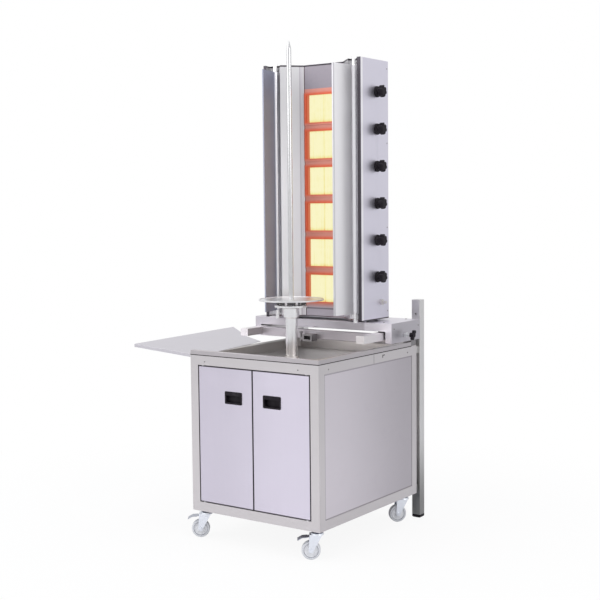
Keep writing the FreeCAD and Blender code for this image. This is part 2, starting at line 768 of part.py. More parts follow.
def knob(k):
    """A lobed control knob with a pointer, on a spindle that goes into the valve."""
    z = glow_bottom + burner_pitch * k + knob_above_glow
    x0 = tower_right + 1.2
    skirt = Part.makeCone(knob_radius, knob_radius - 3, 9, Vector(x0, knob_y, z), Vector(1, 0, 0))
    star = []
    for i in range(knob_lobes * 4):
        turn = 2 * math.pi * i / (knob_lobes * 4)
        reach = knob_radius - 5 - (0, 1.2, 4.0, 1.2)[i % 4]
        star.append(Vector(x0 + 8, knob_y + reach * math.cos(turn), z + reach * math.sin(turn)))
    grip = Part.Face(Part.makePolygon(star + star[:1])).extrude(Vector(knob_length - 8, 0, 0))
    pointer = box(x0 + 2, x0 + 16, knob_y - 2.5, knob_y + 2.5, z + 14, z + knob_radius + 2)
    spindle = rod(3.0, (tower_right - 14, knob_y, z), (x0, knob_y, z))
    return fuse(skirt, grip, pointer, spindle)


def wing_pin():
    """A fixed hinge rod in front of the left cheek, with end collars and tabs to the cheek's pocket."""
    x = spit_x - wing_x
    y = wing_y
    bar = rod(wing_pin_radius, (x, y, pin_bottom), (x, y, pin_top))
    low = rod(wing_tube_radius, (x, y, pin_bottom), (x, y, wing_bottom - face_gap))
    high = rod(wing_tube_radius, (x, y, wing_top + face_gap), (x, y, pin_top))
    pocket = face_y - flare + pocket_depth
    tabs = []
    for z in (tower_bottom + 10, tower_top - 16):
        tabs.append(box(x - 7, x + 7, y + 4, pocket, z, z + 5))
    return fuse(bar, low, high, *tabs)


def wing():
    """The left wind shield: a hinge tube and a plate with a hemmed leading edge."""
    x = spit_x - wing_x
    y = wing_y
    tube = rod(wing_tube_radius, (x, y, wing_bottom), (x, y, wing_top))
    leaf = box(x - 1, x + 1, y - wing_length, y - wing_tube_radius + 1, wing_bottom, wing_top)
    hem = box(x - 1, x + 5, y - wing_length, y - wing_length + 2, wing_bottom, wing_top)
    shield = fuse(tube, leaf, hem)
    shield = shield.cut(rod(wing_pin_radius + running_gap, (x, y, wing_bottom - 1), (x, y, wing_top + 1)))
    shield.rotate(Vector(x, y, 0), Vector(0, 0, 1), wing_turn)
    return shield


def lock_screw():
    """The clamp screw in the right skirt with a two-lobed black knob."""
    z = lock_z
    x1 = cabinet_width + carriage_overhang + lock_reach
    screw = rod(lock_radius, (cabinet_width - rail_inset + face_gap + 0.2, lock_y, z), (x1, lock_y, z))
    collar = rod(lock_radius + 4, (cabinet_width + carriage_overhang + face_gap, lock_y, z),
                 (cabinet_width + carriage_overhang + 12, lock_y, z))
    return fuse(screw, collar)


def lock_knob():
    """A black knob with two round lobes on the screw's end."""
    z = lock_z
    x0 = cabinet_width + carriage_overhang + lock_reach - 16
    hub = rod(10.0, (x0, lock_y, z), (x0 + 20, lock_y, z))
    lobes = [rod(7.5, (x0 + 8, lock_y + side * 7, z + side * 13), (x0 + 20, lock_y + side * 7, z + side * 13))
             for side in (-1, 1)]
    core = rod(lock_radius, (x0 - 30, lock_y, z), (x0 + 16, lock_y, z))
    return fuse(hub, *lobes).cut(core)


# side shelf

def shelf_height(x):
    """The shelf's underside is level over the frame and climbs gently outside it."""
    return cabinet_top + sheet + max(0.0, -x) * shelf_slope


def side_shelf():
    """A sheet that lies over the open left side and reaches out beside the cabinet."""
    outer = -380.0
    line = [(shelf_tongue, shelf_height(shelf_tongue)), (0.0, shelf_height(0)), (outer, shelf_height(outer))]
    surface = folded([(x, z) for x, z in line[::-1]], sheet)
    slab = profile_y(surface, 0, cabinet_depth)
    outline = [(-322, 0), (-2, 0), (-2, 24), (shelf_tongue, 24), (-16, 505), (-151, 572), (-375, 754)]
    plan = prism(outline, cabinet_top - 50, cabinet_top + 80)
    lip_line = [(-2, shelf_height(-2)), (-321, shelf_height(-321))]
    lip = [(lip_line[0][0], lip_line[0][1] + 0.5), (lip_line[0][0], lip_line[0][1] - 12),
           (lip_line[1][0], lip_line[1][1] - 12), (lip_line[1][0], lip_line[1][1] + 0.5)]
    return fuse(slab.common(plan), profile_y(lip, 0, sheet))


def shelf_arms():
    """Two angle arms bolted to the left top rail that carry the shelf."""
    arms = []
    for y in (110.0, 400.0):
        plate = box(-4, 0, y - 20, y + 20, cabinet_top - frame_tube + 4, cabinet_top - 2)
        reach = -255.0
        web = [(0, cabinet_top - 34), (0, shelf_height(0)), (reach, shelf_height(reach)),
               (reach, shelf_height(reach) - 10)]
        flange = [(0, shelf_height(0) - 3), (0, shelf_height(0)), (reach, shelf_height(reach)),
                  (reach, shelf_height(reach) - 3)]
        arms.append(fuse(plate, profile_y(web, y - 1.5, y + 1.5), profile_y(flange, y - 12, y + 12)))
    return group(arms)


# casters

def caster_places():
    near = caster_inset
    far_x = cabinet_width - caster_inset
    far_y = cabinet_depth - rear_caster_inset
    return [("front_left", near, near, caster_heading, True), ("front_right", far_x, near, caster_heading, True),
            ("rear_left", near, far_y, caster_heading + 12, False), ("rear_right", far_x, far_y, caster_heading + 12, False)]


def turned(shape, x, y, heading):
    """A caster piece drawn trailing towards +X at the origin, turned and moved to its place."""
    shape.rotate(Vector(0, 0, 0), Vector(0, 0, 1), heading)
    shape.translate(Vector(x, y, 0))
    return shape


def caster_plate(x, y):
    """The top plate and its fixed bearing cup, bolted under the frame's corner."""
    plate = box(x - 32, x + 32, y - 32, y + 32, cabinet_bottom - 3, cabinet_bottom)
    plate = plate.makeChamfer(6.0, [e for e in plate.Edges if abs(e.Vertexes[0].Z - e.Vertexes[1].Z) > 1])
    cup = Part.makeCone(17, 24, 9, Vector(x, y, cabinet_bottom - 12))
    pin = rod(5.0, (x, y, cabinet_bottom - 22), (x, y, cabinet_bottom - 12))
    head = hex_bar(8.5, (x, y, cabinet_bottom - 25.5), (x, y, cabinet_bottom - 22))
    return fuse(plate, cup, pin, head)


def caster_fork(braked):
    """A pressed fork: a round crown, two tapering legs, the wheel's axle and a pin for the pedal."""
    half = wheel_width / 2 + 3
    crown_top = cabinet_bottom - 12 - face_gap
    crown = Part.makeCone(26, 24, 7, Vector(0, 0, crown_top - 7))
    z0 = wheel_radius - 9
    z1 = crown_top - 7
    shapes = [crown]
    for side in (-1, 1):
        points = [(-20, z1 + 2), (caster_trail + 6, z1 + 2), (caster_trail + 10, z0 + 10), (caster_trail + 7, z0),
                  (caster_trail - 7, z0), (caster_trail - 11, z0 + 10)]
        y0 = half if side > 0 else -half - fork_plate
        shapes.append(profile_y(points, y0, y0 + fork_plate))
    bridge = box(-20, caster_trail + 6, -half - fork_plate, half + fork_plate, z1, z1 + fork_plate)
    shapes.append(bridge)
    reach = half + fork_plate + 5
    shapes.append(rod(axle_radius, (caster_trail, -reach, wheel_radius), (caster_trail, reach, wheel_radius)))
    for side in (-1, 1):
        shapes.append(hex_bar(7.5, (caster_trail, side * (half + fork_plate), wheel_radius),
                              (caster_trail, side * (half + fork_plate + 4), wheel_radius)))
    if braked:
        shapes.append(rod(pedal_pin, (pedal_x, -half, pedal_z - 1), (pedal_x, half, pedal_z - 1)))
    fork = fuse(*shapes)
    bore = rod(5.0 + running_gap, (0, 0, z1 - 1), (0, 0, crown_top + 1))
    return fork.cut(bore)


def caster_wheel():
    """A wheel with a crowned tread, dished sides and a raised hub."""
    w = wheel_width / 2
    r = wheel_radius
    a = axle_radius + running_gap
    points = [(a, -w - 2.5), (12, -w - 2.5), (12, -w + 4), (r - 12, -w + 4), (r - 9, -w), (r - 3, -w), (r, -w + 4),
              (r, w - 4), (r - 3, w), (r - 9, w), (r - 12, w - 4), (12, w - 4), (12, w + 2.5), (a, w + 2.5)]
    face = Part.Face(Part.makePolygon([Vector(p, q, 0) for p, q in points + points[:1]]))
    wheel = face.revolve(Vector(0, 0, 0), Vector(0, 1, 0), 360)
    wheel.translate(Vector(caster_trail, 0, r))
    return wheel


def brake_pedal():
    """A pressed pedal that turns on a pin between the fork's legs, wider outside them."""
    z = pedal_z
    half = wheel_width / 2 + 2.5
    line = [(pedal_x - 8, z - 3), (pedal_x + 8, z), (pedal_x + 34, z - 2), (pedal_x + 52, z - 12)]
    tread = profile_y(folded(line, 2.5), -half, half)
    wide = tread.BoundBox.XMin + 22
    wings = profile_y(folded(line, 2.5), -half - 5, half + 5).common(box(wide, wide + 60, -40, 40, 0, 200))
    barrel = rod(5.0, (pedal_x, -half, z - 1), (pedal_x, half, z - 1))
    bore = rod(pedal_pin + running_gap, (pedal_x, -20, z - 1), (pedal_x, 20, z - 1))
    return fuse(tread, wings, barrel).cut(bore)


middle_gap = door_gap / 2
left_x0 = frame_tube + door_gap
left_x1 = spit_x - middle_gap
left_pivot = left_x0 + pivot_inset
right_pivot = cabinet_width - left_pivot

parts["cabinet_frame"] = cabinet_frame()
parts["side_panels"] = group([side_panel(), mirrored(side_panel())])
parts["back_panel"] = back_panel()
parts["floor_panel"] = floor_panel()
parts["door_left"] = door(left_x0, left_x1, spit_x - handle_from_middle, left_pivot)
parts["door_right"] = mirrored(parts["door_left"])
parts["door_handle_left"] = door_handle(spit_x - handle_from_middle)
parts["door_handle_right"] = door_handle(spit_x + handle_from_middle)
parts["door_pivots"] = group(door_pivots(left_pivot) + door_pivots(right_pivot))
parts["door_stops"] = door_stops()
parts["drip_tray"] = drip_tray()
parts["top_rim"] = group(top_rim())
parts["slide_rails"] = group([rail(rail_inset), rail(cabinet_width - rail_inset - rail_width)])
parts["cross_beam"] = cross_beam()
parts["rail_stop"] = rail_stop()
parts["rail_stands"] = rail_stands()
parts["rear_posts"] = group(rear_post() + [mirrored(piece) for piece in rear_post()])
parts["post_feet"] = group([post_foot(), mirrored(post_foot())])
parts["spit_column"] = spit_column()
parts["column_bearing"] = column_bearing()
parts["motor_cradle"] = motor_cradle()
parts["gear_motor"] = gear_motor()
parts["drive_shaft"] = drive_shaft()
parts["drive_flange"] = drive_flange()
parts["spit_disc"] = spit_disc()
parts["skewer"] = skewer()
parts["side_shelf"] = side_shelf()
parts["shelf_arms"] = shelf_arms()
parts["carriage_base"] = carriage_base()
parts["slide_pads"] = slide_pads()
parts["tower_shell"] = tower_shell()
parts["tower_cheeks"] = group([cheek(), mirrored(cheek())])
parts["burner_frame"] = burner_frame()
parts["tower_plates"] = group([tower_plate(tower_top - cap_thickness), tower_floor()])
parts["burner_casings"] = group(burner_casing(k) for k in range(burner_count))
parts["burner_plaques"] = group(burner_plaque(k, side) for k in range(burner_count) for side in (-1, 1))
parts["gas_manifold"] = gas_manifold()
parts["gas_valves"] = gas_valves()
parts["wing_pins"] = group([wing_pin(), mirrored(wing_pin())])
parts["wing_left"] = wing()
parts["wing_right"] = mirrored(wing())
parts["lock_screw"] = lock_screw()
parts["lock_knob"] = lock_knob()
for number in range(burner_count):
    parts["knob_%d" % (number + 1)] = knob(number)

parts["caster_plates"] = group(caster_plate(x, y) for name, x, y, heading, braked in caster_places())
for name, x, y, heading, braked in caster_places():
    parts["fork_" + name] = turned(caster_fork(braked), x, y, heading)
    parts["wheel_" + name] = turned(caster_wheel(), x, y, heading)
    if braked:
        parts["pedal_" + name] = turned(brake_pedal(), x, y, heading)

bounds = group(parts.values()).BoundBox
shift = Vector(-bounds.Center.x, -bounds.Center.y, -bounds.ZMin)
for name, shape in parts.items():
    shape.translate(shift)
    shape.exportStep("parts/%s.step" % name)
    print(name, len(shape.Solids), round(shape.Volume / 1000, 1), "valid" if shape.isValid() else "not valid")
print("shift", shift, "nodes", len(parts))
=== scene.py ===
import bpy
import bmesh
import json
import math
from mathutils import Euler, Matrix, Vector


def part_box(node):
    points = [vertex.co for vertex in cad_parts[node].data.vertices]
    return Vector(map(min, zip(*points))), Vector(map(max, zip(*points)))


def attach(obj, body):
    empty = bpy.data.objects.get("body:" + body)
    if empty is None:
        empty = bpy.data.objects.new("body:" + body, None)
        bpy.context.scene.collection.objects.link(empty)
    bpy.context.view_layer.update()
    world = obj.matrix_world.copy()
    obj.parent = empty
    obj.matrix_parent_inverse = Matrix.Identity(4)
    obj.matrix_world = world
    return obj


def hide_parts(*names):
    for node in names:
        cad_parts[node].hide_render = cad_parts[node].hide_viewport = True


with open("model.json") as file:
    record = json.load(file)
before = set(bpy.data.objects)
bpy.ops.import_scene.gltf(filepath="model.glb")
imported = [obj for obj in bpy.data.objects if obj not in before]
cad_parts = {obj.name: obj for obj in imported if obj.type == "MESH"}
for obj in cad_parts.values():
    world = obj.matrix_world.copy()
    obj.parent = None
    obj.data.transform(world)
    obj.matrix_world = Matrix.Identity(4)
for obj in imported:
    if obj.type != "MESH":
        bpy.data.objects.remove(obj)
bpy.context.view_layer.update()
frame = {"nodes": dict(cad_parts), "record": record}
print("frame loaded", len(frame["nodes"]), "nodes")

mm = 0.001  # sizes here are millimetres, the frame's are metres
cabinetLow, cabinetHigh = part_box("cabinet_frame")
origin = Vector((cabinetLow.x, cabinetLow.y, 0.0))
cabinetWidth = round((cabinetHigh.x - cabinetLow.x) / mm, 1)
cabinetDepth = round((cabinetHigh.y - cabinetLow.y) / mm, 1)
middleX = cabinetWidth / 2


def at(x, y, z):  # millimetres from the cabinet's front left corner at the floor
    return origin + Vector((x, y, z)) * mm


def along(axis, value):  # a cabinet millimetre as the frame's metre on one axis
    return at(value, value, value)["XYZ".index(axis)]


# Shader and geometry wires: an expression on them adds the nodes

class Wire:
    def __init__(self, tree, socket=None):
        self.tree = tree
        self.socket = socket

    def make(self, kind, values=None, settings=None, stops=None, out=0):
        node = self.tree.nodes.new(kind)
        for key, value in (settings or {}).items():
            setattr(node, key, value)
        if stops:
            ramp = node.color_ramp
            while len(ramp.elements) < len(stops):
                ramp.elements.new(0.5)
            for element, (place, colour) in zip(ramp.elements, stops):
                element.position = place
                element.color = (*colour, 1.0)
        for key, value in (values or {}).items():
            if isinstance(value, Wire):
                self.tree.links.new(value.socket, node.inputs[key])
            else:
                node.inputs[key].default_value = value
        return Wire(self.tree, node.outputs[out])

    def beside(self, name):  # another output of the same node
        return Wire(self.tree, self.socket.node.outputs[name])

    def add(self, *others):  # more geometry into this wire's join node
        for other in others:
            self.tree.links.new(other.socket, self.socket.node.inputs[0])

    def maths(self, operation, *values):
        return self.make("ShaderNodeMath", dict(enumerate(values)), {"operation": operation})

    def __add__(self, other):
        return self.maths("ADD", self, other)

    __radd__ = __add__

    def __sub__(self, other):
        return self.maths("SUBTRACT", self, other)

    def __rsub__(self, other):
        return self.maths("SUBTRACT", other, self)

    def __mul__(self, other):
        return self.maths("MULTIPLY", self, other)

    __rmul__ = __mul__

    def __truediv__(self, other):
        return self.maths("DIVIDE", self, other)

    def __rtruediv__(self, other):
        return self.maths("DIVIDE", other, self)

    def __abs__(self):
        return self.maths("ABSOLUTE", self)

    def step(self, low, high):  # a smooth rise from 0 at low to 1 at high
        values = {"Value": self, "From Min": low, "From Max": high}
        return self.make("ShaderNodeMapRange", values, {"interpolation_type": "SMOOTHSTEP"})

    def blend(self, first, second):  # colours, with this wire as the share of the second
        one, two = [colour if isinstance(colour, Wire) else (*colour, 1.0) for colour in (first, second)]
        return self.make("ShaderNodeMix", {0: self, 6: one, 7: two}, {"data_type": "RGBA"}, out=2)

    def axis(self, name):
        return self.make("ShaderNodeSeparateXYZ", {"Vector": self}, out=name)

    def noise(self, scale, detail=2.0, rough=0.5, stretch=(1.0, 1.0, 1.0)):
        moved = self.make("ShaderNodeMapping", {"Vector": self, "Scale": stretch})
        values = {"Vector": moved, "Scale": scale, "Detail": detail, "Roughness": rough}
        return moved.make("ShaderNodeTexNoise", values)


fedSockets = {"colour": "Base Color", "roughness": "Roughness", "normal": "Normal", "glow": "Emission Color"}


def startMaterial(name, metallic, roughness, colour=(0.5, 0.5, 0.5)):
    material = bpy.data.materials.new(name)
    material.use_nodes = True
    shader = material.node_tree.nodes["Principled BSDF"]
    shader.inputs["Metallic"].default_value = metallic
    shader.inputs["Roughness"].default_value = roughness
    shader.inputs["Base Color"].default_value = (*colour, 1.0)
    place = Wire(material.node_tree).make("ShaderNodeTexCoord", out="Object")

    def feed(**wires):
        for key, wire in wires.items():
            material.node_tree.links.new(wire.socket, shader.inputs[fedSockets[key]])

    return material, shader, place, feed


def bump(wire, strength, distance):
    return wire.make("ShaderNodeBump", {"Height": wire, "Strength": strength, "Distance": distance})


# Finishes

grainStretch = {"x": (0.012, 1.0, 1.0), "y": (1.0, 0.012, 1.0), "z": (1.0, 1.0, 0.012),
                "ring": (0.02, 0.02, 1.0)}
brush = {
    "fine": 1400.0, "broad": 110.0, "clouds": 3.2, "smudges": 14.0, "broadShare": 0.4, "cloudShare": 4.0,
    "darker": 0.86, "paler": 1.14, "glossSpread": 0.22, "smudgeGloss": 0.06, "relief": 0.7, "depth": 0.0004,
}


# A line is a band across one axis, such as a fold, a joint or an edge: axis, low, high, soft edge, share, tone.
# Most lines are painted shade in a gap, a fold or under an overhang, and a few are painted highlights.
# A painted fade is light and shade painted over a sheet: axis, first, last and the factor that the colour
# reaches at the last.

def lined(place, colour, lines):
    for axis, low, high, soft, share, tone in lines:
        where = place.axis(axis)
        rise = where.step(along(axis, low - soft), along(axis, low))
        fall = where.step(along(axis, high + soft), along(axis, high))
        colour = (rise * fall * share).blend(colour, tone)
    return colour


def brushedSteel(name, colour, grain, roughness=0.34, cloud=0.05, fade=None, lines=(), streak=0.14):
    material, shader, place, feed = startMaterial(name, 1.0, roughness)
    streaks = place.noise(brush["fine"], 3.0, 0.6, grainStretch[grain])
    broad = place.noise(brush["broad"], 2.0, 0.5, grainStretch[grain])
    clouds = place.noise(brush["clouds"], 3.0, 0.55)
    smudges = place.noise(brush["smudges"], 4.0, 0.6).step(0.52, 0.74)
    shade = (streaks - 0.5) * streak + (broad - 0.5) * (streak * brush["broadShare"])
    shade = shade + (clouds - 0.5) * (cloud * brush["cloudShare"]) + 0.5
    tones = [tuple(min(c * brush[key], 1.0) for c in colour) for key in ("darker", "paler")]
    if fade:  # painted light and shade: the sheet turns paler or darker towards one side
        axis, first, last, factor = fade
        share = place.axis(axis).step(along(axis, first), along(axis, last))
        tones = [share.blend(tone, tuple(min(c * factor, 1.0) for c in tone)) for tone in tones]
    feed(colour=lined(place, shade.blend(*tones), lines),
         roughness=(streaks - 0.5) * brush["glossSpread"] + smudges * brush["smudgeGloss"] + roughness,
         normal=bump(streaks + broad * 0.5, streak * brush["relief"], brush["depth"]))
    return material


def plainMetal(name, colour, roughness, spots=0.10, scale=30.0):
    material, shader, place, feed = startMaterial(name, 1.0, roughness)
    clouds = place.noise(scale, 4.0, 0.6)
    fine = place.noise(scale * 14.0, 2.0, 0.5)
    dark = tuple(c * (1.0 - spots * 1.6) for c in colour)
    light = tuple(min(c * (1.0 + spots), 1.0) for c in colour)
    feed(colour=clouds.blend(dark, light), roughness=(clouds - 0.5) * 0.2 + (fine - 0.5) * 0.08 + roughness,
         normal=bump(fine, 0.06, 0.0003))
    return material


def plastic(name, colour, roughness, grain=0.25, shine=0.5):
    material, shader, place, feed = startMaterial(name, 0.0, roughness)
    shader.inputs["Specular IOR Level"].default_value = shine
    pits = place.noise(900.0, 3.0, 0.6)
    dust = place.noise(22.0, 4.0, 0.6).step(0.45, 0.8)
    dusty = tuple(c + (0.30 - c) * 0.10 if c < 0.3 else c * 0.93 for c in colour)  # paler on dark colours
    feed(colour=(dust * 0.6).blend(colour, dusty), roughness=(pits - 0.5) * 0.14 + dust * 0.08 + roughness,
         normal=bump(pits, grain, 0.0003))
    return material


gapShade = (0.030, 0.024, 0.030)  # painted shade: the dark of a gap or a folded edge in shade
doorEdge = {"outside": 1.0, "inside": 2.4, "halfGap": 3.4, "soft": 0.8}


def doorGapShade():  # painted shade on the folded edges beside the gaps round both doors
    low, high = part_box("door_left")[0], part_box("door_right")[1]
    left, right = (low.x - origin.x) / mm, (high.x - origin.x) / mm
    bottom, top = low.z / mm, high.z / mm
    out, into, half, soft = doorEdge.values()
    return [("X", left - out, left + into, soft, 0.9, gapShade),
            ("X", right - into, right + out, soft, 0.9, gapShade),
            ("X", middleX - half, middleX + half, soft, 0.9, gapShade),
            ("Z", top - into, top + out, soft, 0.9, gapShade),
            ("Z", bottom - out, bottom + into, soft, 0.8, gapShade)]


sideLines = [
    ("Z", 735, 745, 1.0, 0.55, (0.26, 0.23, 0.26)), ("Z", 155, 164.5, 1.0, 0.55, (0.20, 0.18, 0.20)),
    ("Y", 30, 44.0, 1.0, 0.45, (0.24, 0.22, 0.24)), ("Y", 715, 730, 1.0, 0.45, (0.24, 0.22, 0.24)),
]
# painted shade on the tower's front return and under its bottom edge, and a painted highlight along the front
# edge of its side
shellLightAndShade = [
    ("Y", 425, 432.0, 0.8, 0.93, gapShade), ("Y", 437, 446, 5.0, 0.75, (1.0, 0.99, 1.0)),
    ("Z", 900, 912.5, 1.0, 0.92, gapShade),
]
# painted light on the bed's right end, outside the tower's shade, and painted shade on its right end face
bedLightAndShade = [
    ("X", 556, 683.0, 14.0, 0.62, (0.90, 0.87, 0.93)), ("X", 683.7, 690, 0.2, 0.45, (0.20, 0.19, 0.21)),
]
# painted shade along the top edges of the header and the cheeks
topEdgeShade = ("Z", 2000.0, 2006.3, 0.6, 0.88, gapShade)
# painted shade along the fold of the cheeks' return flange and along their top edge
cheekFoldShade = [
    ("X", 209.0, 211.5, 1.0, 0.50, (0.30, 0.26, 0.32)), ("X", 212.5, 219, 1.0, 0.30, (0.45, 0.38, 0.46)),
    topEdgeShade,
]
finish = {
    # doors: painted light, paler towards the right, and painted shade round the gaps
    "door": brushedSteel("doorSteel", (0.650, 0.612, 0.700), "z", 0.38, fade=("X", 150, 500, 1.12),
                         lines=doorGapShade()),
    # side panels: painted shade, darker towards the back
    "side": brushedSteel("sideSteel", (0.705, 0.665, 0.710), "y", 0.40, fade=("Y", 60, 760, 0.72),
                         lines=sideLines),
    "frame": brushedSteel("frameSteel", (0.650, 0.621, 0.630), "z", 0.36, 0.03, streak=0.05),
    "rim": brushedSteel("rimSteel", (0.530, 0.500, 0.515), "x", 0.36),
    # drip tray: painted shade, darker towards the left
    "tray": brushedSteel("traySteel", (0.790, 0.755, 0.740), "x", 0.42, 0.10, fade=("X", 330, 90, 0.72)),
    "rail": brushedSteel("railSteel", (0.780, 0.750, 0.760), "y", 0.40),
    "beam": brushedSteel("beamSteel", (0.500, 0.470, 0.500), "x", 0.40),
    # rear posts: painted shade, darker towards the floor
    "post": brushedSteel("postSteel", (0.700, 0.695, 0.690), "z", 0.38, fade=("Z", 420, 60, 0.42)),
    "bed": brushedSteel("bedSteel", (0.560, 0.535, 0.570), "x", 0.38, lines=bedLightAndShade),
    "tower": brushedSteel("towerSteel", (0.720, 0.700, 0.790), "z", 0.40, lines=shellLightAndShade),
    # plates: painted shade along their top edge
    "plate": brushedSteel("plateSteel", (0.640, 0.620, 0.680), "x", 0.40,
                          lines=[("Z", 2003.0, 2006.3, 0.4, 0.9, gapShade)]),
    # cheeks: painted shade, darker towards the top
    "cheek": brushedSteel("cheekSteel", (0.970, 0.950, 1.000), "z", 0.36, fade=("Z", 1400, 2010, 0.72),
                          lines=cheekFoldShade),
    # one steel for both wings, painted lit on the right wing and painted with shade and the tower's dark
    # reflection on the left one; the right wing's hem is painted darker as shade
    "wing": brushedSteel("wingSteel", (0.980, 0.955, 1.000), "z", 0.40,
                         lines=[("Y", 290, 336, 2.0, 0.6, (0.50, 0.49, 0.53))]),
    "wingShade": brushedSteel("wingShadeSteel", (0.400, 0.415, 0.510), "z", 0.58),
    "sleeve": brushedSteel("sleeveSteel", (0.900, 0.885, 0.940), "z", 0.30, streak=0.08),
    "shelf": brushedSteel("shelfSteel", (0.660, 0.640, 0.680), "y", 0.38),
    # disc: painted shade, darker towards the right
    "disc": brushedSteel("discSteel", (0.990, 0.985, 0.995), "x", 0.34, 0.02, fade=("X", 230, 430, 0.76)),
    "turned": brushedSteel("turnedSteel", (0.950, 0.940, 0.950), "ring", 0.26, streak=0.08),
    "column": brushedSteel("columnSteel", (0.990, 0.985, 0.990), "z", 0.20, 0.02, streak=0.02),
    "rod": brushedSteel("rodSteel", (0.650, 0.650, 0.660), "z", 0.22, 0.02, streak=0.08),
    # painted shade in the gap between the disc and the drive flange
    "dogs": brushedSteel("dogSteel", (0.920, 0.910, 0.920), "ring", 0.26,
                         lines=[("Z", 982.5, 1000.2, 0.8, 0.92, gapShade)], streak=0.08),
    "zinc": plainMetal("zincPlate", (0.700, 0.710, 0.720), 0.32),
    "forkZinc": plainMetal("forkZinc", (0.860, 0.890, 0.950), 0.34, 0.05),
    # caster plates: painted shade, zinc coloured dark blue as the shade on them
    "plateZinc": plainMetal("mountZinc", (0.240, 0.260, 0.340), 0.38),
    "pedalZinc": plainMetal("pedalZinc", (0.480, 0.500, 0.560), 0.34),
    # painted shade in the grooves between the wheels' treads and hubs
    "ring": plastic("wheelSeam", (0.130, 0.135, 0.180), 0.50),
    "screw": plainMetal("screwSteel", (0.360, 0.350, 0.350), 0.36),
    "castSteel": plainMetal("castSteel", (0.300, 0.290, 0.300), 0.45, 0.16, 18.0),
    "darkSteel": plainMetal("darkSteel", (0.110, 0.100, 0.100), 0.42, 0.18),
    "brass": plainMetal("platedBrass", (0.660, 0.640, 0.620), 0.30),
    "black": plastic("blackPlastic", (0.009, 0.006, 0.010), 0.52, shine=0.20),
    # black plastic painted as shade, for the shade strips and the screws' recesses
    "seal": plastic("darkSeal", (0.012, 0.010, 0.011), 0.60),
    "wheel": plastic("greyTread", (0.760, 0.775, 0.800), 0.48, 0.2),
    "hub": plastic("paleHub", (0.860, 0.870, 0.890), 0.40, 0.15),
    "paint": plastic("blueEnamel", (0.070, 0.115, 0.160), 0.34, 0.15),
}
print("finishes made", len(finish))


# Meshes

def linked(name, data):
    piece = bpy.data.objects.new(name, data)
    bpy.context.scene.collection.objects.link(piece)
    return piece


def shaded(mesh, angle):
    mesh.polygons.foreach_set("use_smooth", [True] * len(mesh.polygons))
    mesh.set_sharp_from_angle(angle=math.radians(angle))


def asPiece(name, mesh, material, body, slot, nodes=(), smooth=35.0):
    if smooth:
        shaded(mesh, smooth)
    mesh.materials.clear()
    mesh.materials.append(material)
    piece = linked(name, mesh)
    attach(piece, body)
    if nodes:
        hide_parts(*nodes)


def applied(piece):  # the object's mesh with its modifiers worked out
    bpy.context.view_layer.update()
    evaluated = piece.evaluated_get(bpy.context.evaluated_depsgraph_get())
    result = bpy.data.meshes.new_from_object(evaluated)
    bpy.data.objects.remove(piece)
    return result


def flatRegions(work):  # sets of faces that lie in one plane and touch, each with its count of outlines
    seen = set()
    for first in work.faces:
        if first in seen:
            continue
        region, queue = {first}, [first]
        while queue:
            face = queue.pop()
            for other in (other for edge in face.edges for other in edge.link_faces):
                if other not in region and other not in seen and other.normal.dot(first.normal) > 0.99995:
                    region.add(other)
                    queue.append(other)
        seen |= region
        edges = {edge for face in region for edge in face.edges}
        border = {edge for edge in edges if sum(face in region for face in edge.link_faces) == 1}
        outlines = 0
        while border:
            outlines += 1
            queue = [border.pop()]
            while queue:
                for edge in (edge for vert in queue.pop().verts for edge in vert.link_edges):
                    if edge in border:
                        border.discard(edge)
                        queue.append(edge)
        yield region, outlines


edgeLook = {"bevelFrom": 32.0, "smoothUpTo": 48.0, "tubeUpTo": 12.0, "normalWeight": 100, "merge": 0.000002}


def softened(mesh, width, segments=2):  # a width of None keeps a tube's own rounded corners
    work = bmesh.new()
    work.from_mesh(mesh)
    bmesh.ops.remove_doubles(work, verts=work.verts, dist=edgeLook["merge"])
    whole = [list(region) for region, outlines in flatRegions(work) if outlines == 1 and len(region) > 1]
    for region in whole:
        bmesh.ops.dissolve_faces(work, faces=region)
    work.to_mesh(mesh)
    work.free()
    if width is None:
        shaded(mesh, edgeLook["tubeUpTo"])
        return mesh
    if width:
        piece = linked("work", mesh)
        bevel = piece.modifiers.new("edge", "BEVEL")
        bevel.width = width * mm
        bevel.segments = segments
        bevel.limit_method = "ANGLE"
        bevel.angle_limit = math.radians(edgeLook["bevelFrom"])
        mesh = applied(piece)
    shaded(mesh, edgeLook["smoothUpTo"])
    piece = linked("work", mesh)
    weighted = piece.modifiers.new("normals", "WEIGHTED_NORMAL")
    weighted.mode = "FACE_AREA"
    weighted.weight = edgeLook["normalWeight"]
    weighted.keep_sharp = True
    return applied(piece)


def camel(node):
    first, *rest = node.split("_")
    return first + "".join(word.capitalize() for word in rest)


bodyOf = {node: body for body, nodes in frame["record"]["behaviour"]["bodies"].items() for node in nodes}
slotOf = {entry["node"]: entry["material_slot"] for entry in frame["record"]["subparts"]}


def reskin(node, material, width):  # the CAD node's own shape with rounded edges
    mesh = softened(frame["nodes"][node].data.copy(), width)
    asPiece(camel(node) + "Skin", mesh, material, bodyOf[node], slotOf[node], [node], smooth=0)


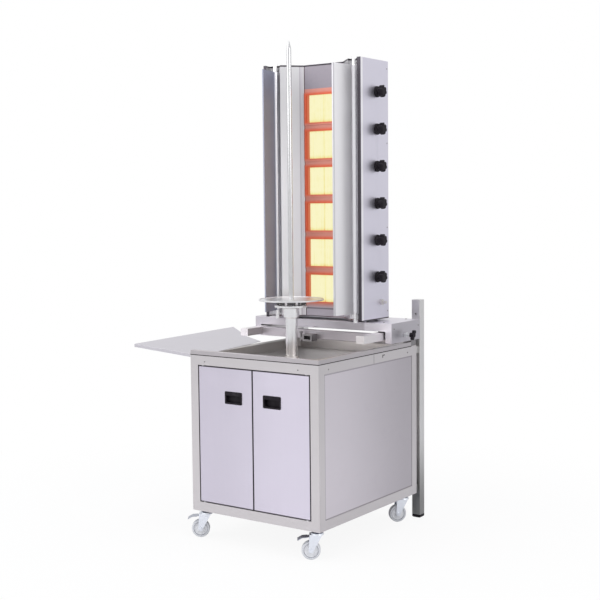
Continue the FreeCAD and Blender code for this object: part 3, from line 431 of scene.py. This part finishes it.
def lathe(profile, start, axis, segments=48, lobes=None):  # profile: radius and height along the axis
    work = bmesh.new()
    axis = Vector(axis).normalized()
    side = axis.orthogonal().normalized()
    other = axis.cross(side)
    rings = []
    for radius, height in profile:
        ring = []
        for i in range(segments):
            turn = 2 * math.pi * i / segments
            reach = radius * (lobes(turn, height) if lobes else 1.0)
            spoke = (side * math.cos(turn) + other * math.sin(turn)) * reach
            ring.append(work.verts.new(start + (axis * height + spoke) * mm))
        rings.append(ring)
    for low, high in zip(rings, rings[1:]):
        for i in range(segments):
            j = (i + 1) % segments
            work.faces.new((low[i], low[j], high[j], high[i]))
    if profile[0] != profile[-1]:
        work.faces.new(rings[0][::-1])
        work.faces.new(rings[-1])
    else:
        bmesh.ops.remove_doubles(work, verts=work.verts, dist=1e-7)
    bmesh.ops.recalc_face_normals(work, faces=work.faces)
    mesh = bpy.data.meshes.new("lathe")
    work.to_mesh(mesh)
    work.free()
    return mesh


def block(low, high, width, segments=2):
    work = bmesh.new()
    bmesh.ops.create_cube(work, size=1.0)
    size = high - low
    for vert in work.verts:
        vert.co = low + Vector((size[i] * (vert.co[i] + 0.5) for i in range(3)))
    bmesh.ops.bevel(work, geom=work.edges[:], offset=width * mm, segments=segments, affect="EDGES",
                    profile=0.5)
    mesh = bpy.data.meshes.new("block")
    work.to_mesh(mesh)
    work.free()
    return mesh


def joined(meshes):
    work = bmesh.new()
    for mesh in meshes:
        work.from_mesh(mesh)
    result = bpy.data.meshes.new("joined")
    work.to_mesh(result)
    work.free()
    return result


# Geometry Nodes: what the screws' tree and the tiles' tree share

def newTree(name, inputs):
    tree = bpy.data.node_groups.new(name, "GeometryNodeTree")
    tree.interface.new_socket("Geometry", in_out="INPUT", socket_type="NodeSocketGeometry")
    for key, value in inputs.items():
        kind = "NodeSocketMaterial" if value is None else "NodeSocketFloat"
        socket = tree.interface.new_socket(key, in_out="INPUT", socket_type=kind)
        if value is not None:
            socket.default_value = value
    tree.interface.new_socket("Geometry", in_out="OUTPUT", socket_type="NodeSocketGeometry")
    start = tree.nodes.new("NodeGroupInput")
    end = tree.nodes.new("NodeGroupOutput")
    return tree, Wire(tree, start.outputs[0]), {key: Wire(tree, start.outputs[key]) for key in inputs}, end


def grown(name, tree, points, values, facing=None):  # runs a tree on bare points and returns a plain mesh
    mesh = bpy.data.meshes.new(name)
    mesh.from_pydata([tuple(point) for point in points], [], [])
    if facing:
        layer = mesh.attributes.new("facing", "FLOAT_VECTOR", "POINT")
        for i, direction in enumerate(facing):
            layer.data[i].vector = direction
    piece = linked(name, mesh)
    modifier = piece.modifiers.new("grow", "NODES")
    modifier.node_group = tree
    for socket in tree.interface.items_tree:
        if socket.in_out == "INPUT" and socket.name in values:
            modifier[socket.identifier] = values[socket.name]
    return applied(piece)


# Camera, lamps, world and floor

# The turn is in degrees
view = {"place": (3147.63, -3619.52, 1390.03), "turn": (85.3848, 0.5575, 35.4561), "lens": 68.887,
        "sensor": 36.0, "farthest": 60.0}


def makeCamera():
    camera = linked("camera", bpy.data.cameras.new("camera"))
    turn = Euler([math.radians(angle) for angle in view["turn"]])
    camera.matrix_world = Matrix.Translation(at(*view["place"])) @ turn.to_matrix().to_4x4()
    camera.data.lens = view["lens"]
    camera.data.sensor_width = view["sensor"]
    camera.data.clip_end = view["farthest"]
    bpy.context.scene.camera = camera


lamps = {
    "keyLamp": {"place": (-1900, -2800, 3600), "aim": (325, 200, 900), "size": 4.2, "power": 96.0},
    "sideLamp": {"place": (4200, -300, 2600), "aim": (500, 400, 1000), "size": 2.6, "power": 34.0},
    "topLamp": {"place": (300, 300, 4600), "aim": (325, 300, 1000), "size": 2.4, "power": 46.0},
}


def makeLamps():
    for name, settings in lamps.items():
        lamp = bpy.data.lights.new(name, "AREA")
        lamp.shape = "SQUARE"
        lamp.size = settings["size"]
        lamp.energy = settings["power"]
        place, aim = at(*settings["place"]), at(*settings["aim"])
        turn = (aim - place).to_track_quat("-Z", "Y").to_matrix().to_4x4()
        linked(name, lamp).matrix_world = Matrix.Translation(place) @ turn


studio = {"light": (0.94, 0.95, 1.0), "strength": 0.62, "glossyShare": 0.62, "floorReach": 9.0,
          "floor": (0.86, 0.86, 0.86), "nearWhite": 0.91, "whiteFrom": 0.7, "whiteAt": 2.2}


def makeWorld():  # soft light on the object, and white where the camera sees the world
    world = bpy.data.worlds.new("studio")
    world.use_nodes = True
    bpy.context.scene.world = world
    world.node_tree.nodes.clear()
    wire = Wire(world.node_tree)
    seen = wire.make("ShaderNodeLightPath", out="Is Camera Ray")
    glossy, clear = seen.beside("Is Glossy Ray"), seen.beside("Is Transmission Ray")
    lit = {"Color": (*studio["light"], 1.0), "Strength": studio["strength"]}
    white = {"Color": (1.0, 1.0, 1.0, 1.0), "Strength": 1.0}
    low = wire.make("ShaderNodeBackground", lit, out="Background")
    high = wire.make("ShaderNodeBackground", white, out="Background")
    share = seen.maths("MINIMUM", seen + glossy * studio["glossyShare"] + clear, 1.0)
    mixed = wire.make("ShaderNodeMixShader", {0: share, 1: low, 2: high})
    output = world.node_tree.nodes.new("ShaderNodeOutputWorld")
    world.node_tree.links.new(mixed.socket, output.inputs["Surface"])


def makeFloor():  # pale, keeps a shadow near the object and turns white farther out
    reach = studio["floorReach"]
    mesh = bpy.data.meshes.new("floor")
    corners = [(-reach, -reach, 0), (reach, -reach, 0), (reach, reach, 0), (-reach, reach, 0)]
    mesh.from_pydata(corners, [], [(0, 1, 2, 3)])
    floor = linked("floor", mesh)
    material, shader, place, feed = startMaterial("paleFloor", 0.0, 0.85, studio["floor"])
    tree = material.node_tree
    seen = place.make("ShaderNodeLightPath", out="Is Camera Ray")
    white = place.make("ShaderNodeEmission", {"Color": (1.0, 1.0, 1.0, 1.0), "Strength": 1.0}, out="Emission")
    distance = place.make("ShaderNodeVectorMath", {0: place}, {"operation": "LENGTH"}, out="Value")
    far = distance.step(studio["whiteFrom"], studio["whiteAt"])
    share = seen * (far * (1.0 - studio["nearWhite"]) + studio["nearWhite"])
    mixed = place.make("ShaderNodeMixShader", {0: share, 1: Wire(tree, shader.outputs[0]), 2: white})
    tree.links.new(mixed.socket, tree.nodes["Material Output"].inputs["Surface"])
    mesh.materials.append(material)


makeCamera()
makeLamps()
makeWorld()
makeFloor()
bpy.context.scene.view_settings.view_transform = "Standard"
print("camera and stage made")


# The CAD's own shapes: a finish and the width of the rounded edges for each node

skins = {
    "cabinet_frame": ("frame", None), "side_panels": ("side", 0.7), "back_panel": ("side", 0.7),
    "floor_panel": ("side", 0.4), "door_left": ("door", 0.7), "door_right": ("door", 0.7),
    "door_pivots": ("zinc", 0.4), "door_stops": ("black", 0.8), "drip_tray": ("tray", 0.5),
    "top_rim": ("rim", 0.9), "slide_rails": ("rail", 1.0), "cross_beam": ("beam", 1.0),
    "rail_stop": ("castSteel", 0.6), "rail_stands": ("castSteel", 0.8), "rear_posts": ("post", 1.2),
    "post_feet": ("black", 1.0), "spit_column": ("column", 0.5), "column_bearing": ("column", 0.5),
    "motor_cradle": ("darkSteel", 0.8), "gear_motor": ("paint", 1.2), "drive_shaft": ("turned", 0.4),
    "drive_flange": ("dogs", 0.5), "spit_disc": ("disc", 0.5), "skewer": ("rod", 0.0),
    "side_shelf": ("shelf", 0.4), "shelf_arms": ("rail", 0.6), "carriage_base": ("bed", 1.0),
    "slide_pads": ("black", 0.2), "tower_shell": ("tower", 0.6), "tower_cheeks": ("cheek", 0.5),
    "tower_plates": ("plate", 0.4), "gas_manifold": ("brass", 0.4), "gas_valves": ("brass", 0.4),
    "wing_pins": ("turned", 0.4), "wing_left": ("wingShade", 0.4), "wing_right": ("wing", 0.4),
    "lock_screw": ("zinc", 0.5), "lock_knob": ("black", 0.8), "caster_plates": ("plateZinc", 0.5),
    "fork_front_left": ("forkZinc", 0.5), "fork_front_right": ("forkZinc", 0.5),
    "fork_rear_left": ("forkZinc", 0.5), "fork_rear_right": ("forkZinc", 0.5),
    "pedal_front_left": ("pedalZinc", 0.6), "pedal_front_right": ("pedalZinc", 0.6),
}
for node, (kind, width) in skins.items():
    reskin(node, finish[kind], width)
print("skins made", len(skins))


# Burners: a plate painted with the orange light of the glow, and pairs of ceramic tiles that glow behind its
# windows

# the plate's glow strength is painted light from the burners
burners = {
    "count": 6, "pitch": 156.3, "glowBottom": 976.0, "height": 118.0, "width": 176.0, "tileFront": 529.0,
    "tileBack": 541.0, "tileWidth": 91.0, "tileHeight": 132.0, "tileGap": 0.5, "cellPitch": 5.2,
    "cellRadius": 2.5, "cellHeight": 1.0, "plateGlow": 0.40, "tileGlow": 0.86,
}
# painted shade in the gap beside the left cheek and along the top edge, and a dark line across the lower panel
plateLines = [
    ("X", 220, 226.6, 0.8, 0.85, (0.07, 0.03, 0.04)), topEdgeShade,
    ("Z", 944.0, 949.0, 1.5, 0.65, (0.12, 0.10, 0.12)),
]


def windowShare(height):  # -0.5 to 0.5 of the pitch, 0 at the middle of the nearest window
    middle = (burners["glowBottom"] + burners["height"] / 2) * mm
    pitch = burners["pitch"] * mm
    fold = (height - middle + pitch * 50.5) / pitch  # 50 keeps the sum positive
    return fold.maths("FRACT", fold) - 0.5


def burnerSteel():  # painted orange light and a painted glow where the glow lights it, steel above and below the burners, painted darker above them as shade
    material, shader, place, feed = startMaterial("heatedSteel", 0.75, 0.55)
    height = place.axis("Z")
    offset = windowShare(height) * (burners["pitch"] * mm)
    half = burners["height"] / 2 * mm
    above = offset.step(half + 0.018, half + 0.003)
    below = offset.step(-half - 0.012, -half + 0.002)
    first = burners["glowBottom"] * mm
    top = first + (burners["pitch"] * (burners["count"] - 1) + burners["height"]) * mm
    inside = height.step(first - 0.030, first - 0.004) * (1.0 - height.step(top + 0.026, top + 0.029))
    # heat is a random mottle of the steel and of the painted glow light
    heat = place.noise(60.0, 3.0, 0.6)
    paintedGlowShare = (above * below * 0.60 + 0.40) * inside
    # painted shade: the header above the burners is darker than the lower panel below them
    headerShaded = heat.blend((0.29, 0.265, 0.30), (0.37, 0.34, 0.38))
    lowerPanel = heat.blend((0.50, 0.46, 0.51), (0.60, 0.56, 0.62))
    steel = height.step(first, first - 0.010).blend(headerShaded, lowerPanel)
    glowLitOrange = heat.blend((0.46, 0.075, 0.035), (0.62, 0.13, 0.07))
    glowLitPink = heat.blend((0.56, 0.25, 0.20), (0.66, 0.32, 0.27))  # painted glow light between two windows
    colour = inside.blend(steel, (above * below).blend(glowLitPink, glowLitOrange))
    # painted light: the plate itself glows orange with the burners' light
    glow = (paintedGlowShare * 0.9).blend((0.0, 0.0, 0.0), (0.55, 0.12, 0.06))
    feed(colour=lined(place, colour, plateLines), glow=glow, roughness=(heat - 0.5) * 0.2 + 0.55,
         normal=bump(heat, 0.1, 0.0004))
    shader.inputs["Emission Strength"].default_value = burners["plateGlow"]
    return material


def glowingTile():  # pale yellow in the middle of each tile, orange at its foot and edges
    material, shader, place, feed = startMaterial("glowingTile", 0.0, 0.9, (0.10, 0.08, 0.05))
    up = windowShare(place.axis("Z")) * (burners["pitch"] / burners["height"] * 2.0)  # -1 to 1 over a window
    across = abs((place.axis("X") - at(middleX, 0, 0).x) / (burners["width"] / 2 * mm))
    rim = across.step(0.84, 0.88)
    join = across.step(0.055, 0.0)
    patch = place.noise(38.0, 3.0, 0.55)
    bands = place.noise(120.0, 2.0, 0.5, (1.0, 1.0, 0.04))
    heat = 1.0 - rim * 1.30 - join * 0.30 - up.step(-0.72, -1.06) * 0.42 - up.step(0.86, 1.1) * 0.3
    heat = heat + (patch - 0.5) * 0.34 + (bands - 0.5) * 0.50
    stops = [(0.0, (0.62, 0.14, 0.06)), (0.30, (0.86, 0.36, 0.12)), (0.52, (0.93, 0.68, 0.24)),
             (0.74, (0.93, 0.88, 0.38)), (1.0, (1.0, 0.97, 0.60))]
    feed(glow=heat.make("ShaderNodeValToRGB", {"Fac": heat}, stops=stops))
    shader.inputs["Emission Strength"].default_value = burners["tileGlow"]
    return material


def reliefTree():  # a low six-sided cell on each point
    tree, points, given, end = newTree("tileRelief", {"Cell Radius": 2.4, "Cell Height": 1.0, "Tile": None})
    radius = given["Cell Radius"] * mm
    sizes = {"Vertices": 6, "Radius Top": radius * 0.5, "Radius Bottom": radius,
             "Depth": given["Cell Height"] * mm}
    cell = points.make("GeometryNodeMeshCone", sizes, {"fill_type": "NGON"})
    turn = points.make("FunctionNodeEulerToRotation", {"Euler": (math.pi / 2, 0.0, 0.0)})
    values = {"Points": points, "Instance": cell, "Rotation": turn}
    placed = points.make("GeometryNodeInstanceOnPoints", values)
    placed = points.make("GeometryNodeRealizeInstances", {"Geometry": placed})
    placed = points.make("GeometryNodeSetMaterial", {"Geometry": placed, "Material": given["Tile"]})
    tree.links.new(placed.socket, end.inputs[0])
    return tree


def makeBurners():
    heated, tile = burnerSteel(), glowingTile()
    reskin("burner_frame", heated, 0.3)
    reskin("burner_casings", heated, 0.8)
    wide, tall = burners["tileWidth"], burners["tileHeight"]
    columns = int(wide / burners["cellPitch"])
    rows = int(tall / (burners["cellPitch"] * math.sqrt(0.75)))
    slabs, cells = [], []
    for k in range(burners["count"]):
        middleZ = burners["glowBottom"] + burners["pitch"] * k + burners["height"] / 2
        for left in (middleX - burners["tileGap"] - wide, middleX + burners["tileGap"]):
            low = at(left, burners["tileFront"], middleZ - tall / 2)
            high = at(left + wide, burners["tileBack"], middleZ + tall / 2)
            slabs.append(block(low, high, 0.6))
            for row in range(rows):
                for column in range(columns - row % 2):
                    x = left + (column + 0.5 + 0.5 * (row % 2)) * wide / columns
                    z = middleZ + (row + 0.5 - rows / 2) * tall / rows
                    cells.append(at(x, burners["tileFront"] + 0.05, z))
    values = {"Cell Radius": burners["cellRadius"], "Cell Height": burners["cellHeight"], "Tile": tile}
    relief = grown("tileRelief", reliefTree(), cells, values)
    mesh = joined(slabs + [relief])
    asPiece("burnerTiles", mesh, tile, "carriage", "glowing_ceramic", ["burner_plaques"], 0)


makeBurners()
print("burners made")


# Sleeves on the wings' tubes

sleeve = {"fromSide": 120.5, "y": 455.0, "radius": 12.4, "bore": 9.6, "bottom": 939.0, "top": 1978.0,
          "chamfer": 0.8}


def makeSleeves():
    r, bore, edge = sleeve["radius"], sleeve["bore"], sleeve["chamfer"]
    height = sleeve["top"] - sleeve["bottom"]
    profile = [(bore, edge / 2), (r - edge, 0.0), (r, edge), (r, height - edge), (r - edge, height),
               (bore, height - edge / 2), (bore, edge / 2)]
    for side, x in (("left", sleeve["fromSide"]), ("right", cabinetWidth - sleeve["fromSide"])):
        mesh = lathe(profile, at(x, sleeve["y"], sleeve["bottom"]), (0, 0, 1), 40)
        asPiece("wing%sSleeve" % side.capitalize(), mesh, finish["sleeve"], "wing_" + side, "stainless_sheet")


makeSleeves()
print("sleeves made")


# Knobs: a round skirt, a lobed head and a raised pointer

knob = {
    "wallX": 576.2, "y": 558.0, "aboveGlow": 115.0, "lobes": 6.0, "lobeDepth": 0.20, "headFrom": 10.0,
    "headFull": 14.0, "pointerLow": (14.0, -2.4, 14.0), "pointerHigh": (36.0, 2.4, 26.0), "stem": 3.0,
    "profile": [(0.01, 0.0), (22.6, 0.0), (23.6, 0.8), (23.8, 2.4), (22.8, 6.5), (20.4, 8.2), (18.4, 9.4),
                (18.0, 11.0), (21.5, 14.0), (24.0, 17.0), (24.6, 20.0), (24.4, 30.0), (23.4, 34.0),
                (21.0, 36.6), (17.6, 37.8), (11.0, 37.9), (10.2, 37.0), (0.01, 36.8)],
}


def lobed(turn, height):  # 1 on the skirt, and waves round the head
    share = (height - knob["headFrom"]) / (knob["headFull"] - knob["headFrom"])
    wave = (0.5 - 0.5 * math.cos(turn * knob["lobes"])) ** 1.4
    return 1.0 - knob["lobeDepth"] * min(max(share, 0.0), 1.0) * wave


def makeKnobs():
    stemProfile = [(0.01, -14), (knob["stem"], -14), (knob["stem"], 1), (0.01, 1)]
    for k in range(burners["count"]):
        z = burners["glowBottom"] + burners["pitch"] * k + knob["aboveGlow"]
        centre = at(knob["wallX"], knob["y"], z)
        grip = lathe(knob["profile"], centre, (1, 0, 0), 72, lobed)
        low, high = [centre + Vector(knob[key]) * mm for key in ("pointerLow", "pointerHigh")]
        pointer = block(low, high, 1.2, 3)
        stem = lathe(stemProfile, centre, (1, 0, 0), 20)
        node = "knob_%d" % (k + 1)
        mesh = joined([grip, pointer, stem])
        asPiece(camel(node) + "Grip", mesh, finish["black"], node, "black_plastic", [node], 40)


makeKnobs()
print("knobs made")


# Door handles: the CAD cups with rounder edges

handle = {"edge": 1.1, "segments": 3}


def makeHandles():
    for side in ("left", "right"):
        node = "door_handle_" + side
        mesh = softened(frame["nodes"][node].data.copy(), handle["edge"], handle["segments"])
        asPiece(camel(node) + "Cup", mesh, finish["black"], "door_" + side, "black_plastic", [node], 0)


makeHandles()
print("handles made")


# Wheels: a tread, a hub and a dark ring between them on each side, painted as the shade in the groove where
# they meet

wheel = {"radius": 38.0, "half": 13.0, "trail": 25.0, "inset": 40.0, "rearInset": 54.0, "heading": 215.5,
         "rearTurn": 12.0, "axle": 4.06}


def casterPlaces():  # each caster's kingpin and the way that its wheel trails
    near, farX, farY = wheel["inset"], cabinetWidth - wheel["inset"], cabinetDepth - wheel["rearInset"]
    front, rear = wheel["heading"], wheel["heading"] + wheel["rearTurn"]
    return {"front_left": (near, near, front), "front_right": (farX, near, front),
            "rear_left": (near, farY, rear), "rear_right": (farX, farY, rear)}


def mirrored(half):  # a half profile and its mirror image, closed
    return half + [(radius, -height) for radius, height in reversed(half)] + half[:1]


def makeWheels():
    r, w, axle = wheel["radius"], wheel["half"], wheel["axle"]
    tread = mirrored([(r - 10, -w + 3), (r - 9, -w + 1.0), (r - 6, -w + 0.2), (r - 3, -w + 0.4),
                      (r - 1, -w + 2), (r, -w + 5)])
    hub = mirrored([(axle, -w - 2.4), (10.2, -w - 2.4), (11.2, -w - 1.6), (12.2, -w + 2.6), (14, -w + 3.6),
                    (r - 13, -w + 4.0), (r - 11, -w + 2.4), (r - 9.4, -w + 2.4)])
    for name, (x, y, heading) in casterPlaces().items():
        turn = math.radians(heading)
        axis = (-math.sin(turn), math.cos(turn), 0.0)
        centre = at(x + wheel["trail"] * math.cos(turn), y + wheel["trail"] * math.sin(turn), r)
        body = "wheel_" + name
        grooveShades = []
        for side in (1, -1):
            inner, outer = side * (w - 2.6), side * (w - 0.8)
            ring = [(r - 9.9, inner), (r - 8.9, inner), (r - 8.9, outer), (r - 9.9, outer), (r - 9.9, inner)]
            grooveShades.append(lathe(ring, centre, axis, 60))
        parts = {"Tread": (lathe(tread, centre, axis, 72), "wheel", [body]),
                 "Hub": (lathe(hub, centre, axis, 60), "hub", []), "Seam": (joined(grooveShades), "ring", [])}
        for part, (mesh, kind, nodes) in parts.items():
            asPiece(camel(body) + part, mesh, finish[kind], body, "grey_wheel", nodes)


makeWheels()
print("wheels made")


# Painted shade: black strips under the tray's rim, in the joint of the right top tube and in the slot beside it

seal = {"bottom": 779.2, "top": 782.6, "proud": 0.35, "sideEnd": 716.0, "jointY": 406.0,
        "slotY": (474.0, 492.0), "slotZ": (757.0, 766.0, 769.5)}


def makeShadeStrips():
    side, proud = cabinetWidth, seal["proud"]
    bottom, top = seal["bottom"], seal["top"]
    slotFront, slotBack = seal["slotY"]
    slotFoot, slotBend, slotTop = seal["slotZ"]
    strips = [block(at(-0.3, -proud, bottom), at(side + 0.3, 0.5, top), 0.2, 1),
              block(at(side - 0.5, -proud, bottom), at(side + proud, seal["sideEnd"], top), 0.2, 1)]
    thin = [((seal["jointY"] - 0.8, 741), (seal["jointY"] + 0.8, 780), 0.3),
            ((slotFront, slotBend), (slotBack, slotTop), 0.4),
            ((slotFront, slotFoot), (slotFront + 4.5, slotBend), 0.4)]
    for (frontY, low), (backY, high), stand in thin:
        strips.append(block(at(side - 0.1, frontY, low), at(side + stand, backY, high), 0.1, 1))
    asPiece("rimSeal", joined(strips), finish["seal"], "root", "black_plastic")


makeShadeStrips()
print("shadeStrips made")


# Screws: the radius of each row's heads, and where they sit

screws = {
    "cabinet": {"radius": 3.6, "front": [(76, 755), (552, 755)], "right": [(69, 757), (682, 757)]},
    "tower": {"radius": 3.2, "x": (575.0, 75.0), "y": 640, "z": (940, 1300, 1660, 1975)},
    "bedSide": {"radius": 4.0, "x": (684.0, -34.0), "y": (512, 716), "z": 876},
    "bedTop": {"radius": 5.0, "x": (20, 630), "y": (520, 704), "z": 900},
    "heightShare": 0.5,
}


def screwRows():  # each row's body, head radius, and the place and facing of its screws
    cabinet, tower, side, top = [screws[key] for key in ("cabinet", "tower", "bedSide", "bedTop")]
    front = [((x, 0.1, z), (0, -1, 0)) for x, z in cabinet["front"]]
    right = [((cabinetWidth, y, z), (1, 0, 0)) for y, z in cabinet["right"]]
    walls = [((x, tower["y"], z), (face, 0, 0)) for z in tower["z"] for x, face in zip(tower["x"], (1, -1))]
    sides = [((x, y, side["z"]), (face, 0, 0)) for x, face in zip(side["x"], (1, -1)) for y in side["y"]]
    tops = [((x, y, top["z"]), (0, 0, 1)) for y in top["y"] for x in top["x"]]
    return [("root", cabinet["radius"], front + right), ("carriage", tower["radius"], walls),
            ("carriage", side["radius"], sides), ("carriage", top["radius"], tops)]


def screwTree():  # a low crowned head with a cross recess on each point, turned to its facing; the cross is two low bars painted black as the shade in a recess
    inputs = {"Head Radius": 4.0, "Head Height": 2.0, "Head": None, "Recess": None}
    tree, points, given, end = newTree("screwHeads", inputs)
    radius = given["Head Radius"] * mm
    height = given["Head Height"] * mm
    shoulder = radius * 0.86
    sizes = {"Vertices": 20, "Radius Top": shoulder, "Radius Bottom": radius, "Depth": height * 0.6}
    rim = points.make("GeometryNodeMeshCone", sizes, {"fill_type": "NGON"})
    sizes = {"Vertices": 20, "Radius Top": radius * 0.5, "Radius Bottom": shoulder, "Depth": height * 0.4}
    crown = points.make("GeometryNodeMeshCone", sizes)
    lift = points.make("ShaderNodeCombineXYZ", {"Z": height * 0.6})
    crown = points.make("GeometryNodeTransform", {"Geometry": crown, "Translation": lift})
    bars = points.make("GeometryNodeJoinGeometry")
    for wide, deep in ((radius * 0.9, radius * 0.2), (radius * 0.2, radius * 0.9)):
        size = points.make("ShaderNodeCombineXYZ", {"X": wide, "Y": deep, "Z": height * 0.3})
        bar = points.make("GeometryNodeMeshCube", {"Size": size})
        lift = points.make("ShaderNodeCombineXYZ", {"Z": height * 0.9})
        bars.add(points.make("GeometryNodeTransform", {"Geometry": bar, "Translation": lift}))
    values = {"Geometry": bars, "Name": "recess", "Value": True}
    settings = {"data_type": "BOOLEAN", "domain": "FACE"}
    marked = points.make("GeometryNodeStoreNamedAttribute", values, settings)
    whole = points.make("GeometryNodeJoinGeometry")
    whole.add(rim, crown, marked)
    facing = points.make("GeometryNodeInputNamedAttribute", {"Name": "facing"}, {"data_type": "FLOAT_VECTOR"})
    turn = points.make("FunctionNodeAlignRotationToVector", {"Vector": facing}, {"axis": "Z"})
    values = {"Points": points, "Instance": whole, "Rotation": turn}
    placed = points.make("GeometryNodeInstanceOnPoints", values)
    placed = points.make("GeometryNodeRealizeInstances", {"Geometry": placed})
    placed = points.make("GeometryNodeSetMaterial", {"Geometry": placed, "Material": given["Head"]})
    recess = points.make("GeometryNodeInputNamedAttribute", {"Name": "recess"}, {"data_type": "BOOLEAN"})
    values = {"Geometry": placed, "Selection": recess, "Material": given["Recess"]}
    placed = points.make("GeometryNodeSetMaterial", values)
    tree.links.new(placed.socket, end.inputs[0])
    return tree


def makeScrews():
    tree = screwTree()
    for body, radius, row in screwRows():
        values = {"Head Radius": radius, "Head Height": radius * screws["heightShare"],
                  "Head": finish["screw"], "Recess": finish["seal"]}
        places, facings = zip(*row)
        mesh = grown("screws", tree, [at(*place) for place in places], values, facings)
        piece = linked("%sScrews%d" % (camel(body), int(radius * 10)), mesh)
        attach(piece, body)


makeScrews()
print("screws made")
